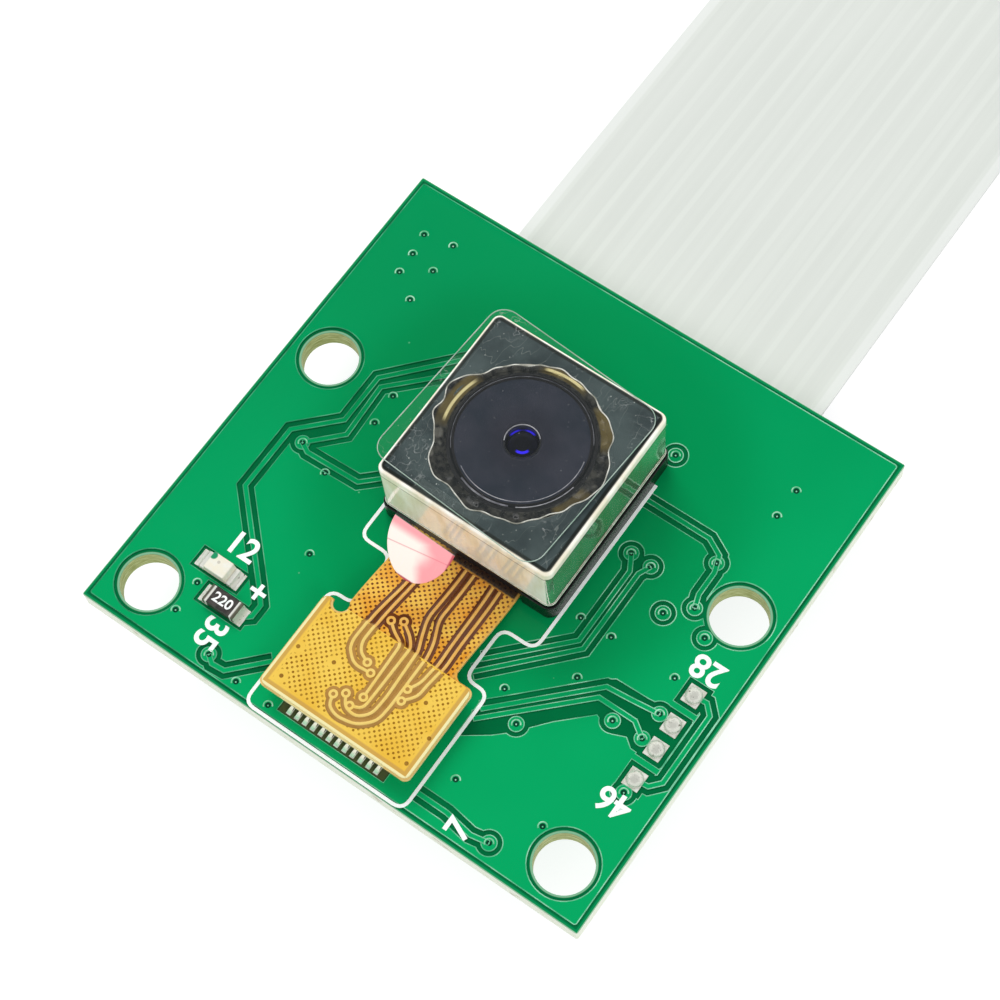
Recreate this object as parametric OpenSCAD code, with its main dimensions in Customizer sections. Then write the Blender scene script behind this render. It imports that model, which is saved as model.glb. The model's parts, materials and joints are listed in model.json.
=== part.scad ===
// Fixed-focus camera board: a square lens module under a drawn steel can, joined by a
// folded flex to a small board, with a flat ribbon held in a slide-latch connector behind.
// X runs across the board, Y towards the ribbon, Z up through the lens.
// The board's centre is at X = 0, Y = 0, and Z = 0 is the face that the part lies on.

/* [Board] */
// Width of the circuit board
board_w = 25; // [25:0.5:40]
// Length of the circuit board, towards the ribbon
board_l = 24; // [24:0.5:40]
// Thickness of the circuit board
board_t = 1; // [0.6:0.1:1.6]
// Radius of the board's corners
board_corner_r = 0.1; // [0.1:0.1:1.5]
// Diameter of the four screw holes
screw_hole_d = 2.5; // [2:0.1:3]
// Distance from a screw hole's centre to the board's sides and rear edge
screw_inset = 2; // [1.8:0.1:2.4]
// Distance between the two rows of screw holes
screw_row_gap = 12.5; // [12:0.1:13.5]
// Bare ring between a screw hole and the copper
screw_ring = 0.25; // [0.2:0.05:0.6]

/* [Copper] */
// Height of the copper and its lacquer over the bare board
copper_t = 0.05; // [0.03:0.01:0.1]
// Bare margin along the board's edge
pour_margin = 0.25; // [0.2:0.05:0.8]
// Width of a trace
trace_w = 0.2; // [0.15:0.01:0.3]
// Bare channel on each side of a trace
trace_gap = 0.27; // [0.2:0.01:0.3]
// Outer diameter of a via's ring
via_d = 0.44; // [0.4:0.02:0.6]
// Hole in a via's ring
via_hole_d = 0.24; // [0.15:0.01:0.3]
// Diameter of the round pad under a via that stands clear of the pour
via_pad_d = 0.64; // [0.62:0.02:0.8]
// Height of a via's ring
via_h = 0.03; // [0.02:0.01:0.05]
// Width of the printed outline
print_w = 0.15; // [0.1:0.01:0.2]
// Height of the printed outline
print_t = 0.02; // [0.01:0.01:0.05]

/* [Lens module] */
// Side of the square lens module
module_w = 8.5; // [8.5:0.1:9]
// Distance from the board's centre line to the lens axis
module_y = 2.35; // [1.5:0.05:3]
// Thickness of the sticky pad under the module
pad_t = 0.1; // [0.05:0.05:0.2]
// Thickness of the steel plate under the module's flex
plate_t = 0.2; // [0.1:0.05:0.3]
// Height of the plastic flange that the can stands on
flange_h = 0.67; // [0.5:0.01:0.9]
// Height of the drawn can
can_h = 3.36; // [3.2:0.01:3.6]
// Thickness of the can's sheet
can_wall = 0.15; // [0.1:0.01:0.2]
// Radius of the can's upright corners
can_corner_r = 0.35; // [0.35:0.05:0.7]
// Radius of the edge round the can's top
can_edge_r = 0.2; // [0.2:0.05:0.35]
// Diameter of the round opening in the can
can_opening_d = 6.9; // [6.8:0.05:7.3]
// Gap between the can and the lens holder inside it
can_play = 0.06; // [0.04:0.01:0.1]

/* [Lens] */
// Outer diameter of the threaded lens barrel
barrel_d = 6.5; // [6.3:0.05:6.55]
// Diameter of the barrel's flat front face
barrel_face_d = 6; // [5.6:0.05:6.1]
// Length of the barrel
barrel_l = 2.5; // [2.4:0.05:2.6]
// Height of the barrel's face over the can
barrel_proud = 0.04; // [0.02:0.01:0.08]
// Radial play of the barrel in its holder, filled by the thread
barrel_play = 0.05; // [0.03:0.01:0.08]
// Diameter of the clear opening in front of the first lens
aperture_d = 1.4; // [1:0.1:1.8]
// Thickness of the barrel's front wall
barrel_front_t = 0.36; // [0.3:0.02:0.42]
// Diameter of the first lens element
lens_front_d = 3.2; // [2.6:0.1:3.4]
// Diameter of the second lens element
lens_middle_d = 4; // [3.8:0.1:4.2]
// Diameter of the third lens element
lens_rear_d = 4.8; // [4.6:0.1:5]
// Thickness of each lens element's rim
lens_rim_t = 0.48; // [0.4:0.02:0.5]
// Thickness of the black rings between the lens elements
lens_ring_t = 0.08; // [0.05:0.01:0.1]
// Play round each lens element
lens_play = 0.02; // [0.01:0.01:0.04]
// Side of the square infrared filter
filter_w = 4.5; // [4.2:0.1:4.6]
// Thickness of the infrared filter
filter_t = 0.3; // [0.2:0.05:0.35]
// Width of the sensor chip
sensor_w = 5.7; // [5:0.1:6]
// Length of the sensor chip
sensor_l = 4.4; // [4:0.1:5]
// Thickness of the sensor chip
sensor_t = 0.25; // [0.2:0.01:0.35]

/* [Protective film] */
// Width of the clear film over the lens
film_w = 8.5; // [8:0.1:9]
// Length of the clear film
film_l = 8.7; // [8:0.1:9]
// Thickness of the film and its tab
film_t = 0.05; // [0.03:0.01:0.08]
// Radius of the film's corners
film_corner_r = 0.9; // [0.5:0.1:1.5]
// Turn of the film against the module
film_turn = -4; // [-5:0.5:0]
// Width of the pull tab
tab_w = 3; // [2.5:0.1:3.5]
// Reach of the pull tab beyond the film
tab_reach = 2.6; // [2:0.1:3]
// Drop of the pull tab's round end below the film
tab_drop = 1.9; // [1.5:0.1:2.2]

/* [Flex] */
// Thickness of the flex
flex_t = 0.15; // [0.1:0.01:0.2]
// Width of the flex between the module and its head
neck_w = 5.4; // [5:0.1:5.6]
// Width of the flex's head
head_w = 7.5; // [7.2:0.1:7.6]
// Length of the flex's head
head_l = 4.6; // [4.4:0.1:4.8]
// Distance from the board's rear edge to the flex's head
head_margin = 0.9; // [0.8:0.05:1.2]
// Thickness of the amber stiffener on the head
stiffener_t = 0.12; // [0.08:0.01:0.2]

/* [Flex plug and socket] */
// Contacts in each of the two rows
plug_ways = 12; // [6:1:12]
// Distance between neighbouring contacts
plug_pitch = 0.4; // [0.35:0.01:0.4]
// Distance from the board's rear edge to the socket's middle
socket_margin = 2.4; // [2.2:0.1:2.6]
// Height of the plug and socket when joined
mated_h = 0.9; // [0.85:0.05:1.1]
// Width of the socket across its rows
socket_l = 2.6; // [2.5:0.05:2.8]

/* [Ribbon connector] */
// Number of contacts
ribbon_ways = 15; // [8:1:15]
// Distance between neighbouring contacts
ribbon_pitch = 1; // [0.9:0.05:1]
// Height of the connector's housing
housing_h = 2.45; // [2.4:0.05:2.8]
// Depth of the housing, back to front
housing_l = 4.1; // [4:0.1:4.4]
// Thickness of the housing's end blocks beside the ribbon
housing_end = 2; // [1.9:0.1:2.4]
// Depth of the latch bar in front of the housing
latch_bar_l = 0.95; // [0.8:0.05:1.2]
// Travel of the latch between closed and open
latch_travel = 1.5; // [1:0.1:1.5]
// Play between the latch and the housing
latch_play = 0.06; // [0.05:0.01:0.1]

/* [Ribbon] */
// Width of the flat ribbon
ribbon_w = 16; // [15.5:0.1:16]
// Thickness of the flat ribbon
ribbon_t = 0.2; // [0.15:0.01:0.22]
// Length of the stiff blue backing at each end
backing_l = 6; // [5:0.1:6.2]
// Thickness of the blue backing
backing_t = 0.1; // [0.08:0.01:0.12]
// Length of the bare contacts at each end
bare_l = 4; // [3:0.1:4.2]

/* [Small parts] */
// Length of the LED and of the resistor beside it
chip_l = 1.6; // [1.4:0.1:1.8]
// Width of the LED and of the resistor beside it
chip_w = 0.8; // [0.7:0.05:0.9]
// Height of the resistor
resistor_h = 0.45; // [0.35:0.05:0.6]
// Height of the LED's white base
led_base_h = 0.2; // [0.15:0.05:0.3]
// Height of the LED's resin over its base
led_lens_h = 0.35; // [0.25:0.05:0.5]
// Distance from the board's left edge to the LED's middle
led_inset_x = 4.15; // [4:0.05:4.6]
// Distance from the board's rear edge to the LED's middle
led_inset_y = 4.1; // [4:0.05:4.4]
// Distance from the LED to the resistor
led_gap = 1.15; // [1.1:0.05:1.3]
// Length of a small chip on the board's back
small_chip_l = 1; // [0.8:0.05:1.1]
// Width of a small chip on the board's back
small_chip_w = 0.5; // [0.4:0.05:0.6]
// Length of a regulator's body
regulator_l = 2.9; // [2.7:0.1:3]
// Width of a regulator's body
regulator_w = 1.6; // [1.4:0.1:1.7]
// Height of a regulator's body
regulator_h = 1.1; // [0.9:0.1:1.3]
// Length of the clock oscillator
clock_l = 3.2; // [2.5:0.1:3.4]
// Width of the clock oscillator
clock_w = 2.5; // [2:0.1:2.6]
// Height of a solder bump on the empty pads
bump_h = 0.28; // [0.2:0.02:0.35]

/* [Hidden] */

$fn = 48;
tiny = 0.01;     // overlap of a cutting tool beyond the face that it cuts

// Levels, from the resting face upwards
board_z = housing_h + copper_t;
top_z = board_z + board_t;
seat_z = top_z + copper_t;
plate_z = seat_z + pad_t;
flex_z = plate_z + plate_t;
flange_z = flex_z + flex_t;
can_z = flange_z + flange_h;
can_top = can_z + can_h;
face_z = can_top + barrel_proud;
film_z = face_z + 0.02;
head_z = seat_z + mated_h;

// Places in plan
rear_y = -board_l / 2;
front_y = board_l / 2;
screw_x = board_w / 2 - screw_inset;
screw_rows = [rear_y + screw_inset, rear_y + screw_inset + screw_row_gap];
head_y0 = rear_y + head_margin;
head_y1 = head_y0 + head_l;
module_y0 = module_y - module_w / 2;
socket_y = rear_y + socket_margin;
led_x = -board_w / 2 + led_inset_x;
led_y = rear_y + led_inset_y;
resistor_x = led_x + 1.1;
resistor_y = led_y - led_gap;
housing_w = ribbon_w + 0.4 + 2 * housing_end;
latch_y = front_y - latch_bar_l;
housing_y1 = latch_y - latch_play;
housing_y0 = housing_y1 - housing_l;
slot_w = ribbon_w + 0.4;

// The front side's traces, from the board's centre
pads_x = board_w / 2 - 1.65;
loop_x = board_w / 2 - 0.65;
LED_TRACE = [[-4.6, 6.8], [-8.2, 2.9], [-8.2, 0.5], [-9.85, -1.15], [-9.85, -4.3],
             [led_x + 1.7, led_y + 0.4], [led_x + 2.35, led_y - 0.3], [led_x + 2.35, led_y - 0.9],
             [led_x + 2.05, led_y - 1.15]];
SIDE_TRACES = [
    [[-4.6, 5.85], [-7.85, 2.6], [-7.72, 0], [-9.05, -1.35]],
    [[-9.05, -1.35], [-8.6, -1.6], [-6, -1.5], [-4.6, -0.2]],
    [[-6.45, -11.1], [-6.1, -11.35], [-5.5, -11.3], [-4.1, -9.85]],
    [[4.45, 4.65], [7.6, 4.65], [8.35, 4.25], [8.6, 3.5], [8.6, 2.35], [8.8, 1.75]],
    [[4, -10.95], [5.5, -10.95], [6.8, -11.15], [7.6, -11]],
];
FLEX_TRACES = [
    [[2.9, -4.95], [5.7, -2.05], [5.7, 1.6], [5.3, 2.3]],
    [[2.9, -5.6], [6.05, -2.25], [6.05, 1.7], [6.3, 2.25]],
    [[4.1, -6.7], [pads_x - 3.1, -3.05], [pads_x - 2, -2.95], [pads_x - 0.7, -2.8]],
    [[4.1, -7.2], [pads_x - 3.1, -3.6], [pads_x - 1.35, -3.6], [pads_x - 0.7, -4.05]],
];
EMPTY_PADS = [[pads_x, -1.4], [pads_x, -2.9], [pads_x, -4.1], [pads_x, -5.6]];
LOOP_TRACE = [[pads_x, -1.4], [loop_x - 0.4, -1.35], [loop_x, -1.75], [loop_x, -5.1],
              [loop_x - 0.4, -5.55], [pads_x, -5.6]];
// The bare field that the flex's traces and the two middle pads lie in
BARE_FIELD = [[3.9, -6.35], [pads_x - 3.25, -2.75], [pads_x - 2.95, -2.55], [pads_x - 1, -2.5],
              [pads_x - 0.55, -2.3], [pads_x + 0.6, -2.35], [pads_x + 0.6, -4.65],
              [pads_x - 0.85, -4.65], [pads_x - 1.25, -4.35], [pads_x - 1.85, -4.6],
              [pads_x - 2.75, -4.25], [6.8, -5.5], [5.7, -6.8], [5.1, -7.35], [3.9, -8.2]];
PLAIN_VIAS = [
    [-10.7, 9.65], [-10.55, 8.6], [-10.5, 7.55], [-9.3, 6.7], [-9.3, 9.9], [-9.3, 8.4],
    [-7.15, 2.55], [-7.05, 1.1], [-7.4, -1.95], [-5.7, -5.25], [-8.8, -8.9], [-8.8, -10.35],
    [-4.8, -11.4], [-3.1, -11.45], [5.2, -1.2], [6.7, -1.2], [9.8, -1.2], [6.55, -3.4],
    [4.4, -5.45], [5, -9.65], [8.95, -9.25], [9.35, 7.05], [9.4, 8.45],
];
PADDED_VIAS = [[4.35, 7], [8.45, 3.9], [8.8, 1.75], [7.85, 0.85], [9.85, 0.9], [5.3, 2.3],
               [6.3, 2.25], [-9.05, -1.35], [-6.45, -11.1], [7.6, -11], [5.65, -6.4],
               [pads_x - 2.1, -4.1], [pads_x - 0.7, -2.8], [pads_x - 0.7, -4.05],
               [pads_x - 0.05, -6.3]];

// The parts on the board's back, from the board's centre
REGULATORS = [[-6, 1.9], [0, 1.9], [6, 1.9]];
CLOCK = [0, -2.6];
CAPACITORS = [for (i = [-4:4]) [1.7 * i, 4.3]];
RESISTORS = [for (i = [-4:4]) if (abs(i) > 1) [1.7 * i, -2.6]];

// Shapes in plan
module rounded_sheet(w, l, r) {
    square([w - 2 * r, l], center = true);
    square([w, l - 2 * r], center = true);
    for (x = [-1, 1], y = [-1, 1])
        translate([x * (w / 2 - r), y * (l / 2 - r)]) circle(r);
}

function unit(v) = v / norm(v);
function left_of(a, b) = let (d = unit(b - a)) [-d[1], d[0]];
function mitre_point(path, i, off) =
    let (last = len(path) - 1,
         before = left_of(path[max(i - 1, 0)], path[max(i, 1)]),
         after = left_of(path[min(i, last - 1)], path[min(i + 1, last)]),
         m = unit(before + after))
    path[i] + m * off / (m * before);
function stroke_outline(path, w) = concat(
    [for (i = [0:len(path) - 1]) mitre_point(path, i, w / 2)],
    [for (i = [len(path) - 1:-1:0]) mitre_point(path, i, -w / 2)]);
module stroke(path, w) {
    polygon(stroke_outline(path, w));
}

// A path whose inner corners are eased over a length by a short curve
function eased(path, d, n = 5) = concat(
    [path[0]],
    [for (i = [1:len(path) - 2])
        let (c = path[i], a = c + unit(path[i - 1] - c) * d, b = c + unit(path[i + 1] - c) * d)
        for (k = [0:n]) let (t = k / n) (1 - t) * (1 - t) * a + 2 * t * (1 - t) * c + t * t * b],
    [path[len(path) - 1]]);

module board_sheet(inset) {
    rounded_sheet(board_w - 2 * inset, board_l - 2 * inset, board_corner_r);
}

module at_screws() {
    for (x = [-screw_x, screw_x], y = screw_rows) translate([x, y]) children();
}

module circuit_board() {
    color("darkgreen")
    translate([0, 0, board_z])
    difference() {
        linear_extrude(board_t) board_sheet(0);
        at_screws() translate([0, 0, -1]) cylinder(d = screw_hole_d, h = board_t + 2);
    }
}

// Copper
module front_channels() {
    for (t = concat([LED_TRACE, LOOP_TRACE], SIDE_TRACES, FLEX_TRACES))
        stroke(t, trace_w + 2 * trace_gap);
    polygon(BARE_FIELD);
    for (p = EMPTY_PADS) translate(p) square(empty_pad + [0.4, 0.4], center = true);
    for (v = PADDED_VIAS) translate(v) circle(via_pad_d / 2 + trace_gap - 0.04);
    for (y = [led_y, resistor_y]) translate([y == led_y ? led_x : resistor_x, y])
        square([chip_l + 0.9, chip_w + 0.25], center = true);
    translate([0, socket_y])
        square([plug_ways * plug_pitch + 0.6, socket_l + 1], center = true);
}

module ground_pour_front() {
    color("mediumseagreen")
    translate([0, 0, top_z])
    linear_extrude(copper_t)
    difference() {
        board_sheet(pour_margin);
        at_screws() circle(d = screw_hole_d + 2 * screw_ring);
        front_channels();
    }
}

module traces_front() {
    color("mediumseagreen")
    translate([0, 0, top_z])
    linear_extrude(copper_t)
    difference() {
        union() {
            for (t = concat([LED_TRACE, LOOP_TRACE], SIDE_TRACES, FLEX_TRACES)) stroke(t, trace_w);
            for (v = PADDED_VIAS) translate(v) circle(d = via_pad_d);
        }
        for (p = EMPTY_PADS) translate(p) square(empty_pad, center = true);
        chip_pads(0);
    }
}

module ground_pour_back() {
    color("mediumseagreen")
    translate([0, 0, board_z - copper_t])
    linear_extrude(copper_t)
    difference() {
        board_sheet(pour_margin);
        at_screws() circle(d = screw_hole_d + 2 * screw_ring);
        translate([0, tail_y - tail_run / 2 + 0.1])
            square([ribbon_ways * ribbon_pitch + 0.2, tail_run + 1.5], center = true);
    }
}

// Short runs from the ribbon contacts' pads
tail_y = housing_y0 - 0.45;
tail_run = 0.9;
module traces_back() {
    color("mediumseagreen")
    translate([0, 0, board_z - copper_t])
    linear_extrude(copper_t)
    for (i = [0:ribbon_ways - 1])
        translate([(i - (ribbon_ways - 1) / 2) * ribbon_pitch, tail_y - 0.4 - tail_run / 2])
            square([trace_w, tail_run], center = true);
}

module via_rings() {
    color("seagreen")
    for (v = concat(PLAIN_VIAS, PADDED_VIAS)) translate([v[0], v[1], seat_z])
        difference() {
            cylinder(d = via_d, h = via_h);
            translate([0, 0, -tiny]) cylinder(d = via_hole_d, h = via_h + 2 * tiny);
        }
}

// The printed line round the module, the neck and the flex's head, open behind the module
line_x = module_w / 2 + 0.2;
line_neck = neck_w / 2 + 0.12;
line_head = head_w / 2 + 0.25;
module printed_outline() {
    half = [[line_x, module_y + module_w / 2 - 1.2], [line_x, module_y0 - 1.5], [line_neck, module_y0 - 1.5],
            [line_neck, head_y1 + 0.5], [line_head, head_y1 + 0.5], [line_head, rear_y + 0.12]];
    other = [for (i = [len(half) - 1:-1:0]) [-half[i][0], half[i][1]]];
    color("white")
    translate([0, 0, seat_z])
    linear_extrude(print_t)
    stroke(eased(concat(half, other), 0.5), print_w);
}

// Pads and solder
empty_pad = [0.75, 0.85];
pad_reach = 0.3;
module chip_pads(grow) {
    for (p = [[led_x, led_y], [resistor_x, resistor_y]], s = [-1, 1])
        translate([p[0] + s * (chip_l / 2 + pad_reach / 2 - 0.1), p[1]])
            square([pad_reach + 0.2 + grow, chip_w + grow], center = true);
}

module solder_pads() {
    color("silver") {
        translate([0, 0, top_z]) linear_extrude(copper_t) {
            for (p = EMPTY_PADS) translate(p) square(empty_pad, center = true);
            chip_pads(0);
            for (i = [0:plug_ways - 1], s = [-1, 1])
                translate([(i - (plug_ways - 1) / 2) * plug_pitch,
                           socket_y + s * (socket_l / 2 + 0.1)])
                    square([0.22, 0.6], center = true);
        }
        translate([0, 0, board_z - copper_t]) linear_extrude(copper_t)
            for (i = [0:ribbon_ways - 1])
                translate([(i - (ribbon_ways - 1) / 2) * ribbon_pitch, tail_y])
                    square([0.6, 0.8], center = true);
    }
}

module solder_bumps() {
    r = empty_pad[0] / 2;
    steps = 6;
    color("lightgray")
    for (p = EMPTY_PADS) translate([p[0], p[1], seat_z])
        rotate_extrude()
            polygon(concat([[0, 0]],
                [for (k = [0:steps]) [r * cos(90 * k / steps), bump_h * sin(90 * k / steps)]]));
}

// LED and resistor beside it
end_t = 0.22;
module led_base() {
    color("ivory") translate([led_x, led_y, seat_z + led_base_h / 2])
        cube([chip_l - 2 * end_t, chip_w, led_base_h], center = true);
}

module led_resin() {
    slope = 0.08;
    half = chip_l / 2 - end_t;
    color("ivory") translate([led_x, led_y, seat_z + led_base_h])
    rotate([90, 0, 0])
    translate([0, 0, -chip_w / 2])
    linear_extrude(chip_w)
        polygon([[-half, 0], [half, 0], [half - slope, led_lens_h], [slope - half, led_lens_h]]);
}

module chip_resistor() {
    color("dimgray") translate([resistor_x, resistor_y, seat_z + resistor_h / 2])
        cube([chip_l - 2 * end_t, chip_w, resistor_h], center = true);
}

module chip_ends() {
    color("silver")
    for (s = [-1, 1]) {
        translate([led_x + s * (chip_l - end_t) / 2, led_y, seat_z + led_base_h / 2])
            cube([end_t, chip_w, led_base_h], center = true);
        translate([resistor_x + s * (chip_l - end_t) / 2, resistor_y, seat_z + resistor_h / 2])
            cube([end_t, chip_w, resistor_h], center = true);
    }
}

module fillet_wedge(rise) {
    run = pad_reach - 0.1;
    translate([0, chip_w / 2, 0])
    rotate([90, 0, 0])
    linear_extrude(chip_w)
        polygon([[0, 0], [run, 0], [run * 0.35, rise * 0.3], [0, rise]]);
}

module solder_fillets() {
    color("lightgray")
    for (p = [[led_x, led_y, led_base_h], [resistor_x, resistor_y, resistor_h * 0.8]], s = [-1, 1])
        translate([p[0], p[1], seat_z]) mirror([s < 0 ? 1 : 0, 0, 0])
            translate([chip_l / 2, 0, 0]) fillet_wedge(p[2]);
}

// Flex plug and socket, about their own middle, with Z = 0 on the board's pads
socket_w = (plug_ways - 1) * plug_pitch + 2;
socket_floor = 0.15;
socket_wall = 0.3;
wall_top = mated_h - 0.3;
contact_w = 0.16;
inner_y = socket_l / 2 - socket_wall;
plug_half = inner_y - 0.28;

module at_plug_ways() {
    for (i = [0:plug_ways - 1], s = [0, 1])
        translate([(i - (plug_ways - 1) / 2) * plug_pitch, 0, 0]) mirror([0, s, 0]) children();
}

// A contact's shape in the YZ plane, given its thickness along X
module upright(thick) {
    rotate([90, 0, 90]) linear_extrude(thick, center = true) children();
}

module flex_socket() {
    tunnel = contact_w + 0.06;
    color("whitesmoke")
    translate([0, socket_y, seat_z])
    difference() {
        union() {
            translate([-socket_w / 2, -socket_l / 2, 0]) cube([socket_w, socket_l, socket_floor]);
            for (s = [-1, 1]) {
                translate([-socket_w / 2, s * (socket_l - socket_wall) / 2 - socket_wall / 2, 0])
                    cube([socket_w, socket_wall, wall_top]);
                translate([s * (socket_w - 0.5) / 2 - 0.25, -socket_l / 2, 0])
                    cube([0.5, socket_l, wall_top]);
            }
            translate([-(socket_w - 1.5) / 2, -0.25, 0]) cube([socket_w - 1.5, 0.5, wall_top - 0.1]);
        }
        at_plug_ways()
            translate([-tunnel / 2, inner_y - 0.25, -tiny])
                cube([tunnel, socket_wall + 0.25 + tiny, socket_floor + tiny]);
    }
}

module socket_contacts() {
    foot = 0.1;
    color("goldenrod")
    translate([0, socket_y, seat_z])
    at_plug_ways() upright(contact_w)
        polygon([[inner_y - 0.18, 0], [socket_l / 2 + 0.35, 0], [socket_l / 2 + 0.35, foot],
                 [inner_y - 0.08, foot], [inner_y - 0.08, wall_top - 0.1],
                 [inner_y - 0.18, wall_top - 0.1]]);
}

module flex_plug() {
    skirt = 0.25;
    color("whitesmoke")
    translate([0, socket_y, seat_z])
    translate([-(socket_w - 1.3) / 2, -plug_half, 0])
    difference() {
        translate([0, 0, socket_floor + 0.05])
            cube([socket_w - 1.3, 2 * plug_half, mated_h - socket_floor - 0.05]);
        translate([0.05, skirt, 0])
            cube([socket_w - 1.4, 2 * (plug_half - skirt), wall_top]);
    }
}

module plug_contacts() {
    skin = 0.07;
    color("goldenrod")
    translate([0, socket_y, seat_z])
    at_plug_ways() upright(contact_w)
        polygon([[plug_half, socket_floor + 0.1], [plug_half + skin, socket_floor + 0.1],
                 [plug_half + skin, mated_h - 0.08], [inner_y + 0.2, mated_h - 0.08],
                 [inner_y + 0.2, mated_h], [plug_half, mated_h]]);
}

// Flex: a side view that climbs from the module to the head, cut to the flex's plan
bend_y0 = module_y0 - 0.5;
bend_y1 = head_y1 + 0.2;
function climb(t) = t * t * (3 - 2 * t);
function flex_floor(y) =
    y > bend_y0 ? flex_z :
    y < bend_y1 ? head_z :
    flex_z + (head_z - flex_z) * climb((bend_y0 - y) / (bend_y0 - bend_y1));
bend_steps = 16;
bend_ys = concat([module_y + module_w / 2], [for (k = [0:bend_steps])
    bend_y0 + (bend_y1 - bend_y0) * k / bend_steps], [head_y0]);

module head_plan(inset) {
    translate([0, (head_y0 + head_y1) / 2])
        rounded_sheet(head_w - 2 * inset, head_l - 2 * inset, 0.3);
}

module flex_plan() {
    notch_r = 0.35;
    fillet = 0.4;
    difference() {
        union() {
            translate([0, module_y]) rounded_sheet(module_w, module_w, can_corner_r);
            translate([-neck_w / 2, head_y0 + 1]) square([neck_w, module_y0 - head_y0]);
            head_plan(0);
            translate([neck_w / 2 - tiny, head_y1 - tiny]) difference() {
                square(fillet);
                translate([fillet, fillet]) circle(fillet);
            }
        }
        translate([-neck_w / 2 - notch_r * 0.7, head_y1]) circle(notch_r);
    }
}

module flex_cable() {
    color("orange")
    intersection() {
        rotate([90, 0, 90])
        linear_extrude(2 * module_w, center = true)
            polygon(concat([for (y = bend_ys) [y, flex_floor(y)]],
                [for (i = [len(bend_ys) - 1:-1:0])
                    [bend_ys[i], flex_floor(bend_ys[i]) + flex_t]]));
        linear_extrude(head_z + 1) flex_plan();
    }
}

module flex_stiffener() {
    color("goldenrod")
    translate([0, 0, head_z + flex_t])
    linear_extrude(stiffener_t)
    difference() {
        head_plan(0.06);
        translate([-neck_w / 2 - 0.25, head_y1]) circle(0.45);
    }
}

// Lens module
module on_module(z) {
    translate([0, module_y, z]) children();
}

module sticky_pad() {
    color("black") on_module(seat_z) linear_extrude(pad_t)
        rounded_sheet(module_w - 0.5, module_w - 0.5, can_corner_r);
}

module module_plate() {
    color("silver") on_module(plate_z) linear_extrude(plate_t)
        rounded_sheet(module_w, module_w, can_corner_r);
}

module image_sensor() {
    color("midnightblue") on_module(flange_z)
        translate([0, 0, sensor_t / 2]) cube([sensor_w, sensor_l, sensor_t], center = true);
}

// Holder: a flange that carries the can, a pocket over the sensor, a ledge for the filter
// and a bore that takes the barrel's thread
bore_d = barrel_d + 2 * barrel_play;
barrel_z = face_z - barrel_l;
ledge_z = barrel_z - 0.3;
ledge_t = 0.35;
holder_w = module_w - 2 * can_wall - 2 * can_play;
holder_top = can_top - can_wall - 0.2;
module lens_holder() {
    color([0.08, 0.08, 0.09])
    on_module(0)
    difference() {
        union() {
            translate([0, 0, flange_z]) linear_extrude(flange_h)
                rounded_sheet(module_w, module_w, can_corner_r);
            translate([0, 0, flange_z]) linear_extrude(holder_top - flange_z)
                rounded_sheet(holder_w, holder_w, can_corner_r - 0.2);
        }
        translate([0, 0, ledge_z]) cylinder(d = bore_d, h = holder_top);
        translate([0, 0, ledge_z - filter_t + tiny])
            linear_extrude(filter_t) square(filter_w + 0.06, center = true);
        linear_extrude(ledge_z) square([filter_w - 0.6, filter_w - 1], center = true);
        linear_extrude(ledge_z - ledge_t - filter_t + 0.3)
            square([sensor_w + 1, sensor_l + 1], center = true);
    }
}

module infrared_filter() {
    color("lightcyan") on_module(ledge_z - filter_t + 2 * tiny)
        linear_extrude(filter_t - 2 * tiny) square(filter_w, center = true);
}

// Barrel: a threaded tube whose bore steps wider towards the sensor, one step for each lens
front_inner_z = face_z - barrel_front_t;
middle_z = front_inner_z - lens_rim_t - lens_ring_t;
rear_z = middle_z - lens_rim_t - lens_ring_t;
retainer_t = rear_z - lens_rim_t - barrel_z;
retainer_d = lens_rear_d + 0.5;
middle_dome_d = lens_front_d - 1.6;
rear_dome_d = lens_middle_d - 0.8;
module lens_barrel() {
    thread_top = can_top - 0.34;
    neck_d = (barrel_d + barrel_face_d) / 2;
    bevel = (neck_d - barrel_face_d) / 2;
    profile = [[0, barrel_z], [barrel_d / 2, barrel_z], [barrel_d / 2, thread_top],
               [neck_d / 2, thread_top], [neck_d / 2, face_z - bevel],
               [barrel_face_d / 2, face_z], [0, face_z]];
    color([0.13, 0.14, 0.18])
    on_module(0)
    difference() {
        rotate_extrude() polygon(profile);
        translate([0, 0, front_inner_z - tiny]) cylinder(d = aperture_d, h = barrel_front_t + 2 * tiny);
        translate([0, 0, face_z - 0.12]) cylinder(d1 = aperture_d, d2 = aperture_d + 0.3, h = 0.12 + tiny);
        translate([0, 0, middle_z]) cylinder(d = lens_front_d + 2 * lens_play, h = front_inner_z - middle_z);
        translate([0, 0, rear_z]) cylinder(d = lens_middle_d + 2 * lens_play, h = middle_z - rear_z + tiny);
        translate([0, 0, barrel_z + retainer_t])
            cylinder(d = lens_rear_d + 2 * lens_play, h = rear_z - barrel_z - retainer_t + tiny);
        translate([0, 0, barrel_z - tiny])
            cylinder(d = retainer_d + 2 * lens_play, h = retainer_t + tiny);
    }
}

// A moulded lens: a flat rim with a curved dome above and a shallower one below
dome_steps = 8;
module lens_element(d, dome_d, up, down) {
    rotate_extrude()
        polygon(concat(
            [for (k = [0:dome_steps]) let (a = 90 * k / dome_steps)
                [dome_d / 2 * sin(a), -down * cos(a)]],
            [[d / 2, 0], [d / 2, lens_rim_t]],
            [for (k = [dome_steps:-1:0]) let (a = 90 * k / dome_steps)
                [dome_d / 2 * sin(a), lens_rim_t + up * cos(a)]]));
}

module lens_front() {
    color("lightblue") on_module(front_inner_z - lens_rim_t)
        lens_element(lens_front_d, aperture_d - 0.1, 0.16, 0.04);
}

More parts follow.
